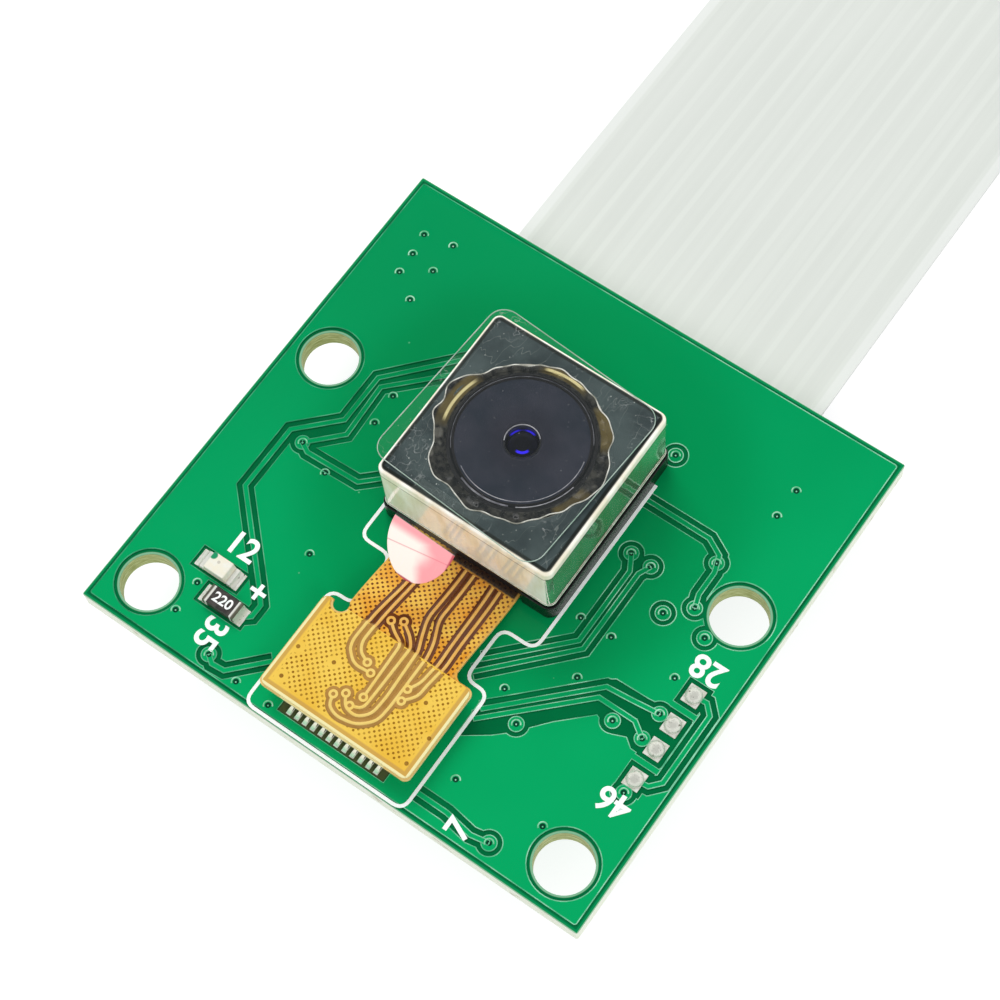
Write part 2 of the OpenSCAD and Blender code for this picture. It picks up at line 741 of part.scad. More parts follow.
module lens_middle() {
    color("lightblue") on_module(middle_z - lens_rim_t)
        lens_element(lens_middle_d, middle_dome_d, 0.03, 0.04);
}

module lens_rear() {
    color("lightblue") on_module(rear_z - lens_rim_t)
        lens_element(lens_rear_d, rear_dome_d, 0.03, 0.1);
}

module lens_rings() {
    color("black")
    for (r = [[middle_z, lens_front_d, middle_dome_d + 0.1], [rear_z, lens_middle_d, rear_dome_d + 0.1]])
        on_module(r[0]) difference() {
            cylinder(d = r[1], h = lens_ring_t);
            translate([0, 0, -tiny]) cylinder(d = r[2], h = lens_ring_t + 2 * tiny);
        }
}

module lens_retainer() {
    color("black") on_module(barrel_z) difference() {
        cylinder(d = retainer_d, h = retainer_t);
        translate([0, 0, -tiny]) cylinder(d = lens_middle_d, h = retainer_t + 2 * tiny);
    }
}

// Hardened glue in the gap round the barrel, with four blobs on the can
module lens_glue() {
    inner = (barrel_d + barrel_face_d) / 4 + tiny;
    outer = can_opening_d / 2 - tiny;
    blobs = [[18, 0.9], [45, 0.7], [-130, 1], [-172, 0.8]];
    color("darkkhaki")
    on_module(0) {
        translate([0, 0, can_top - 0.3]) difference() {
            cylinder(r = outer, h = 0.26);
            translate([0, 0, -tiny]) cylinder(r = inner, h = 0.3);
        }
        for (b = blobs) rotate(b[0])
            translate([outer + 0.05, 0, can_top]) intersection() {
                cylinder(d = b[1] * 0.7, h = 0.02);
                translate([0.02, -1, 0]) cube([1, 2, 1]);
            }
    }
}

// Can: a drawn square cup with eased upright corners and a round lip along its top edge
module cup(w, corner, edge, h) {
    steps = 5;
    hull()
    for (x = [-1, 1], y = [-1, 1])
        translate([x * (w / 2 - corner), y * (w / 2 - corner), 0])
        rotate_extrude($fn = 32)
            polygon(concat([[0, 0], [corner, 0]],
                [for (k = [0:steps]) let (a = 90 * k / steps)
                    [corner - edge + edge * cos(a), h - edge + edge * sin(a)]],
                [[0, h]]));
}

module shield_can() {
    color("gainsboro")
    on_module(can_z)
    difference() {
        cup(module_w, can_corner_r, can_edge_r, can_h);
        translate([0, 0, -tiny])
            cup(module_w - 2 * can_wall, can_corner_r - can_wall, can_edge_r - can_wall,
                can_h - can_wall + tiny);
        cylinder(d = can_opening_d, h = can_h + 1);
    }
}

// Black glue round the module's foot, open where the flex leaves
glue_w = 0.12;
module base_glue() {
    color([0.05, 0.05, 0.05])
    on_module(seat_z)
    linear_extrude(can_z - seat_z - 0.1)
    difference() {
        rounded_sheet(module_w + 2 * glue_w, module_w + 2 * glue_w, can_corner_r + glue_w);
        rounded_sheet(module_w, module_w, can_corner_r);
        translate([0, -module_w / 2 - glue_w]) square([neck_w + 0.2, 4 * glue_w], center = true);
    }
}

// Clear film over the can, and the pink tab that pulls it off
film_shift = [-0.4, 0.25];
module protective_film() {
    color("lightblue", 0.4)
    on_module(film_z)
    translate(film_shift)
    rotate(film_turn)
    linear_extrude(film_t) rounded_sheet(film_w, film_l, film_corner_r);
}

tab_x = -0.95;
tab_lap = 0.8;
tab_y0 = module_y + film_shift[1] - film_l / 2 - 0.3;
tab_steps = 14;
function tab_point(t) =
    let (s = t * (tab_reach + tab_lap) - tab_lap,
         fall = max(0, s) / tab_reach)
    [tab_y0 - s, film_z + film_t - tab_drop * fall * (0.55 + 0.45 * fall)];
module pull_tab() {
    path = [for (k = [0:tab_steps]) tab_point(k / tab_steps)];
    end_r = tab_w / 2;
    end_y = path[tab_steps][0] + end_r;
    color("hotpink", 0.7)
    intersection() {
        rotate([90, 0, 90])
        linear_extrude(3 * tab_w, center = true)
            polygon(concat(path,
                [for (k = [tab_steps:-1:0]) path[k] + [0, film_t]]));
        translate([tab_x, 0, 0]) linear_extrude(film_z + 1) {
            translate([0, end_y]) circle(end_r);
            translate([-end_r, end_y]) square([tab_w, tab_y0 + 1 - end_y]);
        }
    }
}

// Ribbon connector. The ribbon lies with its contacts towards the board,
// pressed up against the spring contacts by the latch's tongue.
ribbon_in_z = 1.45;                                 // middle of the ribbon in the connector
contact_strip = 0.03;                               // height of a bare contact on the ribbon
strip_top = ribbon_in_z + ribbon_t / 2 + contact_strip;
tongue_top = ribbon_in_z - ribbon_t / 2 - backing_t - 0.1;
slot_z0 = tongue_top - 0.45;
slot_z1 = strip_top + 0.34;
slot_back = housing_y0 + 0.6;
spring_t = 0.15;
channel_z1 = slot_z1 + spring_t + 0.18;
arm_x0 = slot_w / 2 + 1.15;
arm_t = 0.42;
nib = 0.26;
arm_z0 = slot_z0 + 0.12;
arm_h = 0.66;
nib_l = 0.25;
nib_y1 = housing_y1 - 0.35 - latch_travel;

module at_ways() {
    for (i = [0:ribbon_ways - 1])
        translate([(i - (ribbon_ways - 1) / 2) * ribbon_pitch, 0, 0]) children();
}

module ribbon_housing() {
    groove = 0.4;
    color("antiquewhite")
    difference() {
        translate([-housing_w / 2, housing_y0, 0]) cube([housing_w, housing_l, housing_h]);
        translate([-slot_w / 2, slot_back, slot_z0])
            cube([slot_w, housing_l, slot_z1 - slot_z0]);
        at_ways() translate([-groove / 2, housing_y0 - 1, slot_z1 - tiny])
            cube([groove, housing_l + 0.6, channel_z1 - slot_z1]);
        at_ways() translate([-groove / 2, housing_y0 - 1, slot_z1 - 0.2])
            cube([groove, 1.65, channel_z1 - slot_z1 + 0.2]);
        // a lead-in along the slot's mouth
        translate([-slot_w / 2 - 0.1, housing_y1 - 0.2, slot_z0 - 0.1])
            cube([slot_w + 0.2, 1, slot_z1 - slot_z0 + 0.2]);
        // a groove in each end for the latch's arm, narrower at its mouth to stop the nib
        for (s = [0, 1]) mirror([s, 0, 0]) {
            translate([arm_x0 - latch_play, nib_y1 - nib_l - 0.2, arm_z0 - latch_play])
                cube([arm_t + 2 * latch_play, housing_l, arm_h + 2 * latch_play]);
            translate([arm_x0, nib_y1 - nib_l - 0.2, arm_z0 - latch_play])
                cube([housing_end, latch_travel + nib_l + 0.2 + latch_play, arm_h + 2 * latch_play]);
        }
    }
}

module ribbon_latch() {
    bar_h = 0.85;
    ear_w = 1.5;
    color([0.16, 0.12, 0.1]) {
        // bar, tongue with a wedge tip, and an upright ear at each end
        difference() {
            translate([-housing_w / 2, latch_y, tongue_top - bar_h])
                cube([housing_w, latch_bar_l, bar_h]);
            translate([0, latch_y + latch_bar_l, tongue_top - bar_h])
                rotate([45, 0, 0]) cube([housing_w + 1, 0.3, 0.3], center = true);
        }
        rotate([90, 0, 90])
        linear_extrude(ribbon_w - 0.2, center = true)
            polygon([[latch_y + tiny, tongue_top], [latch_y + tiny, slot_z0 + 0.06],
                     [slot_back + 0.9, slot_z0 + 0.06], [slot_back + 0.5, slot_z0 + 0.16],
                     [slot_back + 1.1, tongue_top]]);
        for (s = [0, 1]) mirror([s, 0, 0]) {
            translate([slot_w / 2 + housing_end - ear_w, latch_y, tongue_top - tiny])
                cube([ear_w, latch_bar_l, 0.95]);
            translate([arm_x0, nib_y1 - nib_l, arm_z0])
                cube([arm_t, latch_y - nib_y1 + nib_l + tiny, arm_h]);
            translate([arm_x0, nib_y1 - nib_l, arm_z0]) cube([arm_t + nib, nib_l, arm_h]);
        }
    }
}

module connector_contacts() {
    spring_z = slot_z1 + 0.05;
    foot_z = board_z - copper_t;
    tip_y = housing_y0 + housing_l - 0.95;
    color("gold")
    at_ways() upright(0.3)
        polygon([[tail_y - 0.3, foot_z], [tail_y - 0.3, foot_z - 0.12], [housing_y0 - 0.25, foot_z - 0.12],
                 [housing_y0 - 0.15, spring_z], [tip_y - 0.9, spring_z],
                 [tip_y - 0.35, strip_top + 0.01], [tip_y, strip_top + 0.01],
                 [tip_y + 0.1, strip_top + 0.16], [tip_y - 0.2, strip_top + 0.2],
                 [tip_y - 0.7, spring_z + spring_t], [housing_y0 - 0.05, spring_z + spring_t],
                 [housing_y0 - 0.08, foot_z]]);
}

module connector_anchors() {
    leg_y = housing_y0 + 1.2;
    plate = 0.15;
    color("silver")
    for (s = [0, 1]) mirror([s, 0, 0]) translate([housing_w / 2, leg_y, 0]) {
        translate([0, 0, board_z - copper_t - 0.7]) cube([plate, 1.4, 0.7]);
        translate([plate, 0, board_z - copper_t - plate]) cube([0.6, 1.4, plate]);
    }
}

// Parts on the board's back
back_z = board_z - copper_t;
module on_back(p) {
    translate([p[0], p[1], back_z]) mirror([0, 0, 1]) children();
}

lead_t = 0.12;
lead_rise = 0.55;
module regulators() {
    color([0.1, 0.1, 0.11])
    for (p = REGULATORS) on_back(p)
        translate([0, 0, 0.05]) rotate([90, 0, 90])
        linear_extrude(regulator_l, center = true)
            polygon([[-regulator_w / 2 + 0.08, 0], [regulator_w / 2 - 0.08, 0],
                     [regulator_w / 2, lead_rise], [regulator_w / 2 - 0.08, regulator_h - 0.05],
                     [-regulator_w / 2 + 0.08, regulator_h - 0.05], [-regulator_w / 2, lead_rise]]);
}

module regulator_leads() {
    reach = 0.55;
    w = regulator_w / 2;
    color("silver")
    for (p = REGULATORS) on_back(p)
        for (l = [[-0.95, 1], [0, 1], [0.95, 1], [-0.95, -1], [0.95, -1]])
            translate([l[0], 0, 0]) mirror([0, l[1] < 0 ? 1 : 0, 0])
            upright(0.4)
                polygon([[w, lead_rise], [w + 0.18, lead_rise], [w + 0.25, lead_t], [w + reach, lead_t],
                         [w + reach, 0], [w + 0.15, 0], [w + 0.06, lead_rise - lead_t - 0.02],
                         [w - 0.01, lead_rise - lead_t]]);
}

module clock_base() {
    color("tan") on_back(CLOCK) linear_extrude(0.35) rounded_sheet(clock_l, clock_w, 0.15);
}

module clock_lid() {
    color("gainsboro") on_back(CLOCK) translate([0, 0, 0.35])
        linear_extrude(0.4) rounded_sheet(clock_l - 0.3, clock_w - 0.3, 0.25);
}

small_end = 0.22;
module small_body(h) {
    translate([0, 0, h / 2]) cube([small_chip_w, small_chip_l - 2 * small_end, h], center = true);
}

module small_capacitors() {
    color("burlywood") for (p = CAPACITORS) on_back(p) small_body(small_chip_w);
}

module small_resistors() {
    color("dimgray") for (p = RESISTORS) on_back(p) small_body(small_chip_w * 0.7);
}

module small_chip_ends() {
    module pair(h) {
        for (s = [-1, 1]) translate([0, s * (small_chip_l - small_end) / 2, h / 2])
            cube([small_chip_w, small_end, h], center = true);
    }
    color("silver") {
        for (p = CAPACITORS) on_back(p) pair(small_chip_w);
        for (p = RESISTORS) on_back(p) pair(small_chip_w * 0.7);
    }
}

// Ribbon: out of the connector, gently down to the resting face and straight along it.
// Each point is the distance from the board's front edge, and the height, at the ribbon's middle.
RIBBON_RUN = [
    [-4.4, 1.45], [-3, 1.45], [-1, 1.45], [0.5, 1.45], [2, 1.45], [4, 1.42], [6, 1.35], [8, 1.27],
    [12, 1.1], [16, 0.92], [20, 0.74], [24, 0.57], [28, 0.42], [33, 0.27], [38, 0.17],
    [43, 0.12], [48, 0.1], [58, 0.1], [68, 0.1], [78, 0.1], [88, 0.1], [98, 0.1], [108, 0.1],
    [118, 0.1], [128, 0.1], [136, 0.1], [138.5, 0.2], [142, 0.2], [145.5, 0.2],
];
RIBBON_ROUTE = [for (p = RIBBON_RUN) [front_y + p[0], p[1]]];
ribbon_rings = len(RIBBON_ROUTE);
edge_bevel = 0.05;
RIBBON_SECTION = [
    [-ribbon_w / 2, -ribbon_t / 2 + edge_bevel], [-ribbon_w / 2 + edge_bevel, -ribbon_t / 2],
    [ribbon_w / 2 - edge_bevel, -ribbon_t / 2], [ribbon_w / 2, -ribbon_t / 2 + edge_bevel],
    [ribbon_w / 2, ribbon_t / 2 - edge_bevel], [ribbon_w / 2 - edge_bevel, ribbon_t / 2],
    [-ribbon_w / 2 + edge_bevel, ribbon_t / 2], [-ribbon_w / 2, ribbon_t / 2 - edge_bevel],
];

module ribbon() {
    sides = len(RIBBON_SECTION);
    points = [for (p = RIBBON_ROUTE, s = RIBBON_SECTION) [s[0], p[0], p[1] + s[1]]];
    skin = [for (i = [0:ribbon_rings - 2], k = [0:sides - 1])
        let (a = i * sides + k, b = i * sides + (k + 1) % sides)
        each [[a, b, b + sides], [a, b + sides, a + sides]]];
    near = [for (k = [1:sides - 2]) [0, k + 1, k]];
    base = (ribbon_rings - 1) * sides;
    far = [for (k = [1:sides - 2]) [base, base + k, base + k + 1]];
    color("whitesmoke") polyhedron(points, concat(skin, near, far));
}

ribbon_y0 = RIBBON_ROUTE[0][0];
ribbon_y1 = RIBBON_ROUTE[ribbon_rings - 1][0];
ribbon_end_z = RIBBON_ROUTE[ribbon_rings - 1][1];
module ribbon_contacts() {
    color("silver")
    for (e = [[ribbon_y0, ribbon_in_z], [ribbon_y1 - bare_l, ribbon_end_z]])
        at_ways() translate([-0.35, e[0], e[1] + ribbon_t / 2]) cube([0.7, bare_l, contact_strip]);
}

module ribbon_backings() {
    color("royalblue")
    for (e = [[ribbon_y0, ribbon_in_z], [ribbon_y1 - backing_l, ribbon_end_z]])
        translate([-ribbon_w / 2 + 0.05, e[0], e[1] - ribbon_t / 2 - backing_t])
            cube([ribbon_w - 0.1, backing_l, backing_t]);
}

circuit_board();
ground_pour_front();
ground_pour_back();
traces_front();
traces_back();
via_rings();
printed_outline();
solder_pads();
solder_bumps();
led_base();
led_resin();
chip_resistor();
chip_ends();
solder_fillets();
flex_socket();
socket_contacts();
flex_plug();
plug_contacts();
flex_cable();
flex_stiffener();
sticky_pad();
module_plate();
image_sensor();
infrared_filter();
lens_holder();
lens_barrel();
lens_front();
lens_middle();
lens_rear();
lens_rings();
lens_retainer();
lens_glue();
shield_can();
base_glue();
protective_film();
pull_tab();
ribbon_housing();
ribbon_latch();
connector_contacts();
connector_anchors();
regulators();
regulator_leads();
clock_base();
clock_lid();
small_capacitors();
small_resistors();
small_chip_ends();
ribbon();
ribbon_contacts();
ribbon_backings();
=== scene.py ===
# %% [markdown]
# # Dressing a small camera board
# The solids of the board come from the CAD frame. This lesson gives them their surfaces:
# green lacquer over copper, a polished can, an amber flex and a ridged white ribbon.
# Every form is modelled in millimetres and is made metres when it is finished.

import json
import math

import bmesh
import bpy
from mathutils import Matrix, Quaternion, Vector
from mathutils.bvhtree import BVHTree


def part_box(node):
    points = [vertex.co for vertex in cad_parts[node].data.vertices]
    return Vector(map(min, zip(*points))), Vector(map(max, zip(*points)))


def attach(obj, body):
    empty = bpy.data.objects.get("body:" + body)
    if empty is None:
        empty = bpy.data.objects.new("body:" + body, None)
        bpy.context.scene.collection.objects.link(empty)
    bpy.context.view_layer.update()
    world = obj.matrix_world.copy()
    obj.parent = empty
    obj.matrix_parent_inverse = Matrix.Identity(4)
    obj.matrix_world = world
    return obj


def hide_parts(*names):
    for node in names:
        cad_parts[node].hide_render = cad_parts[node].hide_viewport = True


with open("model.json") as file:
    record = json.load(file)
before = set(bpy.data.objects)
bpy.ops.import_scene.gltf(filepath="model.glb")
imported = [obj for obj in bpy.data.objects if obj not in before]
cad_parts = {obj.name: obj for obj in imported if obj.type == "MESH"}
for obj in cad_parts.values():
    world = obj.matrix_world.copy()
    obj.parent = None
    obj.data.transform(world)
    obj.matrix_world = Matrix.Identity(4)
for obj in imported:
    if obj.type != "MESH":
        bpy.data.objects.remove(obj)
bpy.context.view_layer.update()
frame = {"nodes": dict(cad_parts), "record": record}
MM = 0.001
print("solids in the frame:", len(frame["nodes"]))

# %% [markdown]
# ## Where things are
# Levels and places are read from the solids' boxes, so that the dress follows the frame.
# The record says which body each solid moves with.

# %% Levels and places, in millimetres
def box_mm(node):
    """Lowest and highest corner of a solid, in millimetres."""
    return tuple(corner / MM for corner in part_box(node))


BOARD_LO, BOARD_HI = box_mm("circuit_board")
LACQUER_Z = box_mm("ground_pour_front")[1].z
BACK_Z = box_mm("ground_pour_back")[0].z
CAN_LO, CAN_HI = box_mm("shield_can")
LENS_X = (CAN_LO.x + CAN_HI.x) / 2
LENS_Y = (CAN_LO.y + CAN_HI.y) / 2
CAN_HALF = (CAN_HI.x - CAN_LO.x) / 2
FACE_Z = box_mm("lens_barrel")[1].z
BODY_OF = {node: body for body, nodes in frame["record"]["behaviour"]["bodies"].items()
           for node in nodes}
print("board top", round(BOARD_HI.z, 3), "can top", round(CAN_HI.z, 3), "lens at", round(LENS_Y, 2))

# %% [markdown]
# ## Shader maths as Python
# A node graph is hard to read as a list of links. Wire stands for one output of a node,
# and + - * / on it add Math nodes, so a pattern can be written as a formula. A finish is a
# function that is given an empty graph and returns what varies over the piece. The line
# above it, finish_named(), gives the material its name and its steady inputs, and the
# function's own name then stands for the material.

# %% Wires and graphs
def paint(red, green, blue):
    """A colour as it looks on a screen, from 0 to 255, as the linear colour that nodes take."""
    channel = [c / 255 for c in (red, green, blue)]
    return tuple(c / 12.92 if c <= 0.04045 else ((c + 0.055) / 1.055) ** 2.4
                 for c in channel) + (1.0,)


class Wire:
    """One output socket. Maths on it adds Math nodes to its graph."""

    def __init__(self, graph, socket):
        self.graph, self.socket = graph, socket

    def maths(self, operation, first, second=0.0):
        """The wire that a Math node gives."""
        return self.graph.node("ShaderNodeMath", {"operation": operation}, {0: first, 1: second})

    def __neg__(self):
        return self * -1.0

    def __abs__(self):
        return self.maths("ABSOLUTE", self)

    def lesser(self, other):
        return self.maths("MINIMUM", self, other)

    def greater(self, other):
        return self.maths("MAXIMUM", self, other)

    def wave(self, period):
        """Cosine of this value, once round for each period."""
        return self.maths("COSINE", self * (2 * math.pi / period))

    def fade(self, start=0.3, end=0.7):
        """0 before start and 1 after end, turning smoothly between. End may be the lower one."""
        return self.graph.node(
            "ShaderNodeMapRange", {"interpolation_type": "SMOOTHSTEP"},
            {"Value": self, "From Min": start, "From Max": end})


def overload(sign, operation):
    """Gives Wire an operator and its reflected form."""
    setattr(Wire, f"__{sign}__", lambda self, other: self.maths(operation, self, other))
    setattr(Wire, f"__r{sign}__", lambda self, other: self.maths(operation, other, self))


for sign, operation in (("add", "ADD"), ("sub", "SUBTRACT"), ("mul", "MULTIPLY"),
                        ("truediv", "DIVIDE"), ("pow", "POWER")):
    overload(sign, operation)


class Graph:
    """A node tree that is filled through one method. Patterns are laid out by its place."""

    def __init__(self, tree):
        self.tree, self.place = tree, None
        tree.nodes.clear()

    def put(self, socket, value):
        """Links a wire to a socket, or sets it to a number, a vector or a screen colour."""
        if isinstance(value, Wire):
            self.tree.links.new(value.socket, socket)
        elif socket.type == "RGBA" and len(value) == 3:
            socket.default_value = paint(*value)
        else:
            socket.default_value = value

    def node(self, kind, settings=None, inputs=None, output=0):
        """Adds a node and gives back the wire from one of its outputs."""
        made = self.tree.nodes.new(kind)
        for key, value in (settings or {}).items():
            setattr(made, key, value)
        for key, value in (inputs or {}).items():
            self.put(made.inputs[key], value)
        return Wire(self, made.outputs[output]) if len(made.outputs) else None

    def axes(self, place=None):
        """The x, y and z of a vector wire, or of the place on the piece."""
        parts = self.node("ShaderNodeSeparateXYZ", None, {0: place or self.place})
        return [Wire(self, socket) for socket in parts.socket.node.outputs]

    def noise(self, scale, detail=3.0, stretch=None):
        """Soft noise with scale features to a millimetre, stretched along an axis if asked."""
        place = self.place
        if stretch:
            place = self.node("ShaderNodeMapping", None, {"Vector": place, "Scale": stretch})
        return self.node("ShaderNodeTexNoise", None,
                         {"Vector": place, "Scale": scale, "Detail": detail})

    def cells(self, scale):
        """Distance to the middle of the nearest cell, with scale of them to a millimetre."""
        return self.node("ShaderNodeTexVoronoi", None, {"Vector": self.place, "Scale": scale})

    def blend(self, share, first, second):
        """A colour that turns from the first to the second as share goes from 0 to 1."""
        return self.node("ShaderNodeMix", {"data_type": "RGBA"}, {0: share, 6: first, 7: second}, 2)

    def layers(self, colour, *coats):
        """A colour under coats. Each coat is where it lies, from 0 to 1, and its colour."""
        for share, coat in coats:
            colour = self.blend(share, colour, coat)
        return colour

    def bump(self, height, depth_mm):
        """A normal that dents the surface by depth_mm where height goes from 1 to 0."""
        return self.node("ShaderNodeBump", None, {"Height": height, "Distance": depth_mm * MM})


def new_graph(material):
    """The emptied node graph of a material or a world."""
    material.use_nodes = True
    return Graph(material.node_tree)


def finish_named(label, **steady):
    """Turns a recipe into a material. The recipe gives what varies, and steady what doesn't."""
    def make(recipe):
        material = bpy.data.materials.new(label)
        graph = new_graph(material)
        corner = graph.node("ShaderNodeTexCoord", output="Object")
        graph.place = graph.node("ShaderNodeVectorMath", {"operation": "SCALE"},
                                 {0: corner, "Scale": 1 / MM})
        inputs = {key.replace("_", " "): value for key, value in steady.items()}
        shader = graph.node("ShaderNodeBsdfPrincipled", None, {**inputs, **recipe(graph)})
        graph.node("ShaderNodeOutputMaterial", None, {"Surface": shader})
        return material
    return make


def mottled(label, dark, pale, rough, grain=2.0, dent=0.004, **steady):
    """A plain finish whose colour and gloss drift a little, as any real surface's do."""
    @finish_named(label, **steady)
    def material(graph):
        fine = graph.noise(grain * 9, 4.0)
        return {"Base Color": graph.blend(graph.noise(grain).fade(), dark, pale),
                "Roughness": rough + (fine - 0.5) * 0.12,
                "Normal": graph.bump(fine, dent)}
    return material


def off_axis(x, y, at_x, at_y):
    """Distance in plan from an upright axis."""
    return ((x - at_x) ** 2.0 + (y - at_y) ** 2.0) ** 0.5


print("mid grey is", round(paint(128, 128, 128)[0], 2))

# %% [markdown]
# ## From millimetres to finished pieces
# Blender's tools have small built-in tolerances, so fine edges are eased while the mesh is
# still in millimetres. settle() bakes the modifiers, scales the mesh, and ties the piece to
# its body in the frame.

# %% Making and settling pieces
def settle(draft, name, finish, stands_for=None, slot=None):
    """Turns a draft in millimetres into a piece in metres, which may stand for a solid."""
    bpy.context.view_layer.update()
    evaluated = draft.evaluated_get(bpy.context.evaluated_depsgraph_get())
    mesh = bpy.data.meshes.new_from_object(evaluated)
    bpy.data.objects.remove(draft)
    mesh.transform(Matrix.Scale(MM, 4))
    mesh.name = name
    mesh.materials.clear()
    mesh.materials.append(finish)
    made = bpy.data.objects.new(name, mesh)
    bpy.context.scene.collection.objects.link(made)
    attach(made, BODY_OF.get(stands_for, "board"))
    if stands_for:
        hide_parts(stands_for)
    return made


def draft_of(bm, smooth_under=35):
    """A draft object from a bmesh, smooth where neighbouring faces turn less than that angle."""
    bm.normal_update()
    for face in bm.faces:
        face.smooth = True
    for edge in bm.edges:
        edge.smooth = len(edge.link_faces) == 2 and (
            edge.calc_face_angle(math.pi) < math.radians(smooth_under))
    mesh = bpy.data.meshes.new("draft")
    bm.to_mesh(mesh)
    bm.free()
    draft = bpy.data.objects.new("draft", mesh)
    bpy.context.scene.collection.objects.link(draft)
    return draft


def merged(node):
    """A solid's mesh as one clean skin, in millimetres."""
    bm = bmesh.new()
    bm.from_mesh(frame["nodes"][node].data)
    bmesh.ops.scale(bm, vec=(1 / MM,) * 3, verts=bm.verts)
    bmesh.ops.remove_doubles(bm, verts=bm.verts, dist=0.0005)
    bmesh.ops.dissolve_limit(bm, angle_limit=math.radians(0.6), verts=bm.verts, edges=bm.edges)
    return bm


def eased_copy(node, name, finish, ease, steps=2, over=40):
    """A copy of a solid with its sharp edges eased, standing for that solid."""
    bm = merged(node)
    bm.normal_update()
    sharp = [edge for edge in bm.edges if len(edge.link_faces) == 2
             and edge.calc_face_angle(0) > math.radians(over)]
    if ease:
        bmesh.ops.bevel(bm, geom=sharp, offset=ease, segments=steps, profile=0.5,
                        affect="EDGES", clamp_overlap=True)
    draft = draft_of(bm, 60)
    draft.modifiers.new("even_normals", "WEIGHTED_NORMAL").keep_sharp = True
    return settle(draft, name, finish, node)


def dress(node, finish):
    """Gives a solid that is shown as it is its finish."""
    materials = frame["nodes"][node].data.materials
    materials.clear()
    materials.append(finish)


def skin(points, closed_u=True, closed_v=False):
    """A bmesh of quads over a grid of points: rows along v, each row running along u."""
    bm = bmesh.new()
    rows = [[bm.verts.new(p) for p in row] for row in points]
    count, width = len(rows), len(rows[0])
    for v in range(count if closed_v else count - 1):
        for u in range(width if closed_u else width - 1):
            a, b = rows[v], rows[(v + 1) % count]
            bm.faces.new((a[u], a[(u + 1) % width], b[(u + 1) % width], b[u]))
    return bm


def capped(bm, width):
    """Closes the first and the last row of a skin whose rows have that many points."""
    bm.verts.ensure_lookup_table()
    for first in (0, len(bm.verts) - width):
        bm.faces.new([bm.verts[first + k] for k in range(width)])
    return bm


def outward(bm):
    """Turns a closed skin's faces outwards."""
    bmesh.ops.recalc_face_normals(bm, faces=bm.faces)
    return bm


print("helpers are ready")

# %% [markdown]
# ## Camera
# The board is seen from its rear right corner, from two thirds of the way up, through a
# long lens that is turned a little.

# %% Camera
CAMERA_AT = Vector((26.01, -27.68, 94.05)) * MM
LOOKS_AT = Vector((-0.58, 1.21, 3.5)) * MM
ROLL = math.radians(-7.76)

camera_data = bpy.data.cameras.new("camera")
camera_data.lens, camera_data.sensor_width = 85.03, 36.0
camera_data.clip_start, camera_data.clip_end = 0.001, 10.0
camera = bpy.data.objects.new("camera", camera_data)
bpy.context.scene.collection.objects.link(camera)
camera.location = CAMERA_AT
camera.rotation_mode = "QUATERNION"
aim = (LOOKS_AT - CAMERA_AT).to_track_quat("-Z", "Y")
camera.rotation_quaternion = aim @ Quaternion((0, 0, 1), ROLL)
bpy.context.scene.camera = camera
bpy.context.scene.view_settings.view_transform = "Standard"
print("camera is", round((LOOKS_AT - CAMERA_AT).length / MM, 1), "mm away")

# %% [markdown]
# ## Ribbon
# A flat ribbon is fifteen flat copper strips between two white films. Each strip shows as a
# low ridge. The ribbon has one cross-section all along, so it is swept along its route.

# %% The ribbon's finish
RIBBON_WIDTH, WAYS, PITCH = 16.0, 15, 1.0


@finish_named("ribbon_white_film", Specular_IOR_Level=0.25)
def ribbon_white(graph):
    x, y, z = graph.axes()
    ridge = x.wave(PITCH)
    inside = abs(x).fade(7.62, 7.5)
    valley = ridge.fade(-0.55, -0.9) * inside
    streaks = graph.noise(1.1, 3.0, (2.2, 0.05, 1.0))
    clouds = graph.noise(0.12, 2.0)
    film = graph.blend(streaks.fade(0.3, 0.75), (226, 231, 225), (230, 235, 229))
    film = graph.layers(graph.blend(inside, (242, 246, 242), film),
                        (valley * 0.4, (238, 243, 237)),
                        (clouds.fade(0.35, 0.7) * 0.3, (234, 238, 233)))
    return {"Base Color": film,
            "Roughness": 0.45 + streaks * 0.12,
            "Normal": graph.bump(streaks, 0.002)}


print("ribbon finish:", ribbon_white.name)

# %% The ribbon's route and sweep
# Each point is the distance from the board's front edge, and the height
FALL = [(-4.4, 1.45), (-3, 1.45), (-1, 1.45), (0.5, 1.45), (2, 1.45), (4, 1.42), (6, 1.35),
        (8, 1.27), (12, 1.1), (16, 0.92), (20, 0.74), (24, 0.57), (28, 0.42), (33, 0.27),
        (38, 0.17), (43, 0.12), (48, 0.1)]
RUN = [(out, 0.1) for out in range(58, 129, 10)]
END = [(136, 0.1), (138.5, 0.2), (142, 0.2), (145.5, 0.2)]
ROUTE = [Vector((0, BOARD_HI.y + out, z)) for out, z in FALL + RUN + END]


def eased_line(points, parts):
    """Points on a smooth curve through the given ones."""
    out = []
    for i in range(len(points) - 1):
        a, b = points[max(i - 1, 0)], points[i]
        c, d = points[i + 1], points[min(i + 2, len(points) - 1)]
        for k in range(parts):
            t = k / parts
            at = 0.5 * (2 * b + (c - a) * t + (2 * a - 5 * b + 4 * c - d) * t ** 2
                        + (3 * b - a - 3 * c + d) * t ** 3)
            out.append(Vector((at.x, at.y, max(at.z, 0.1))))
    return out + [points[-1]]


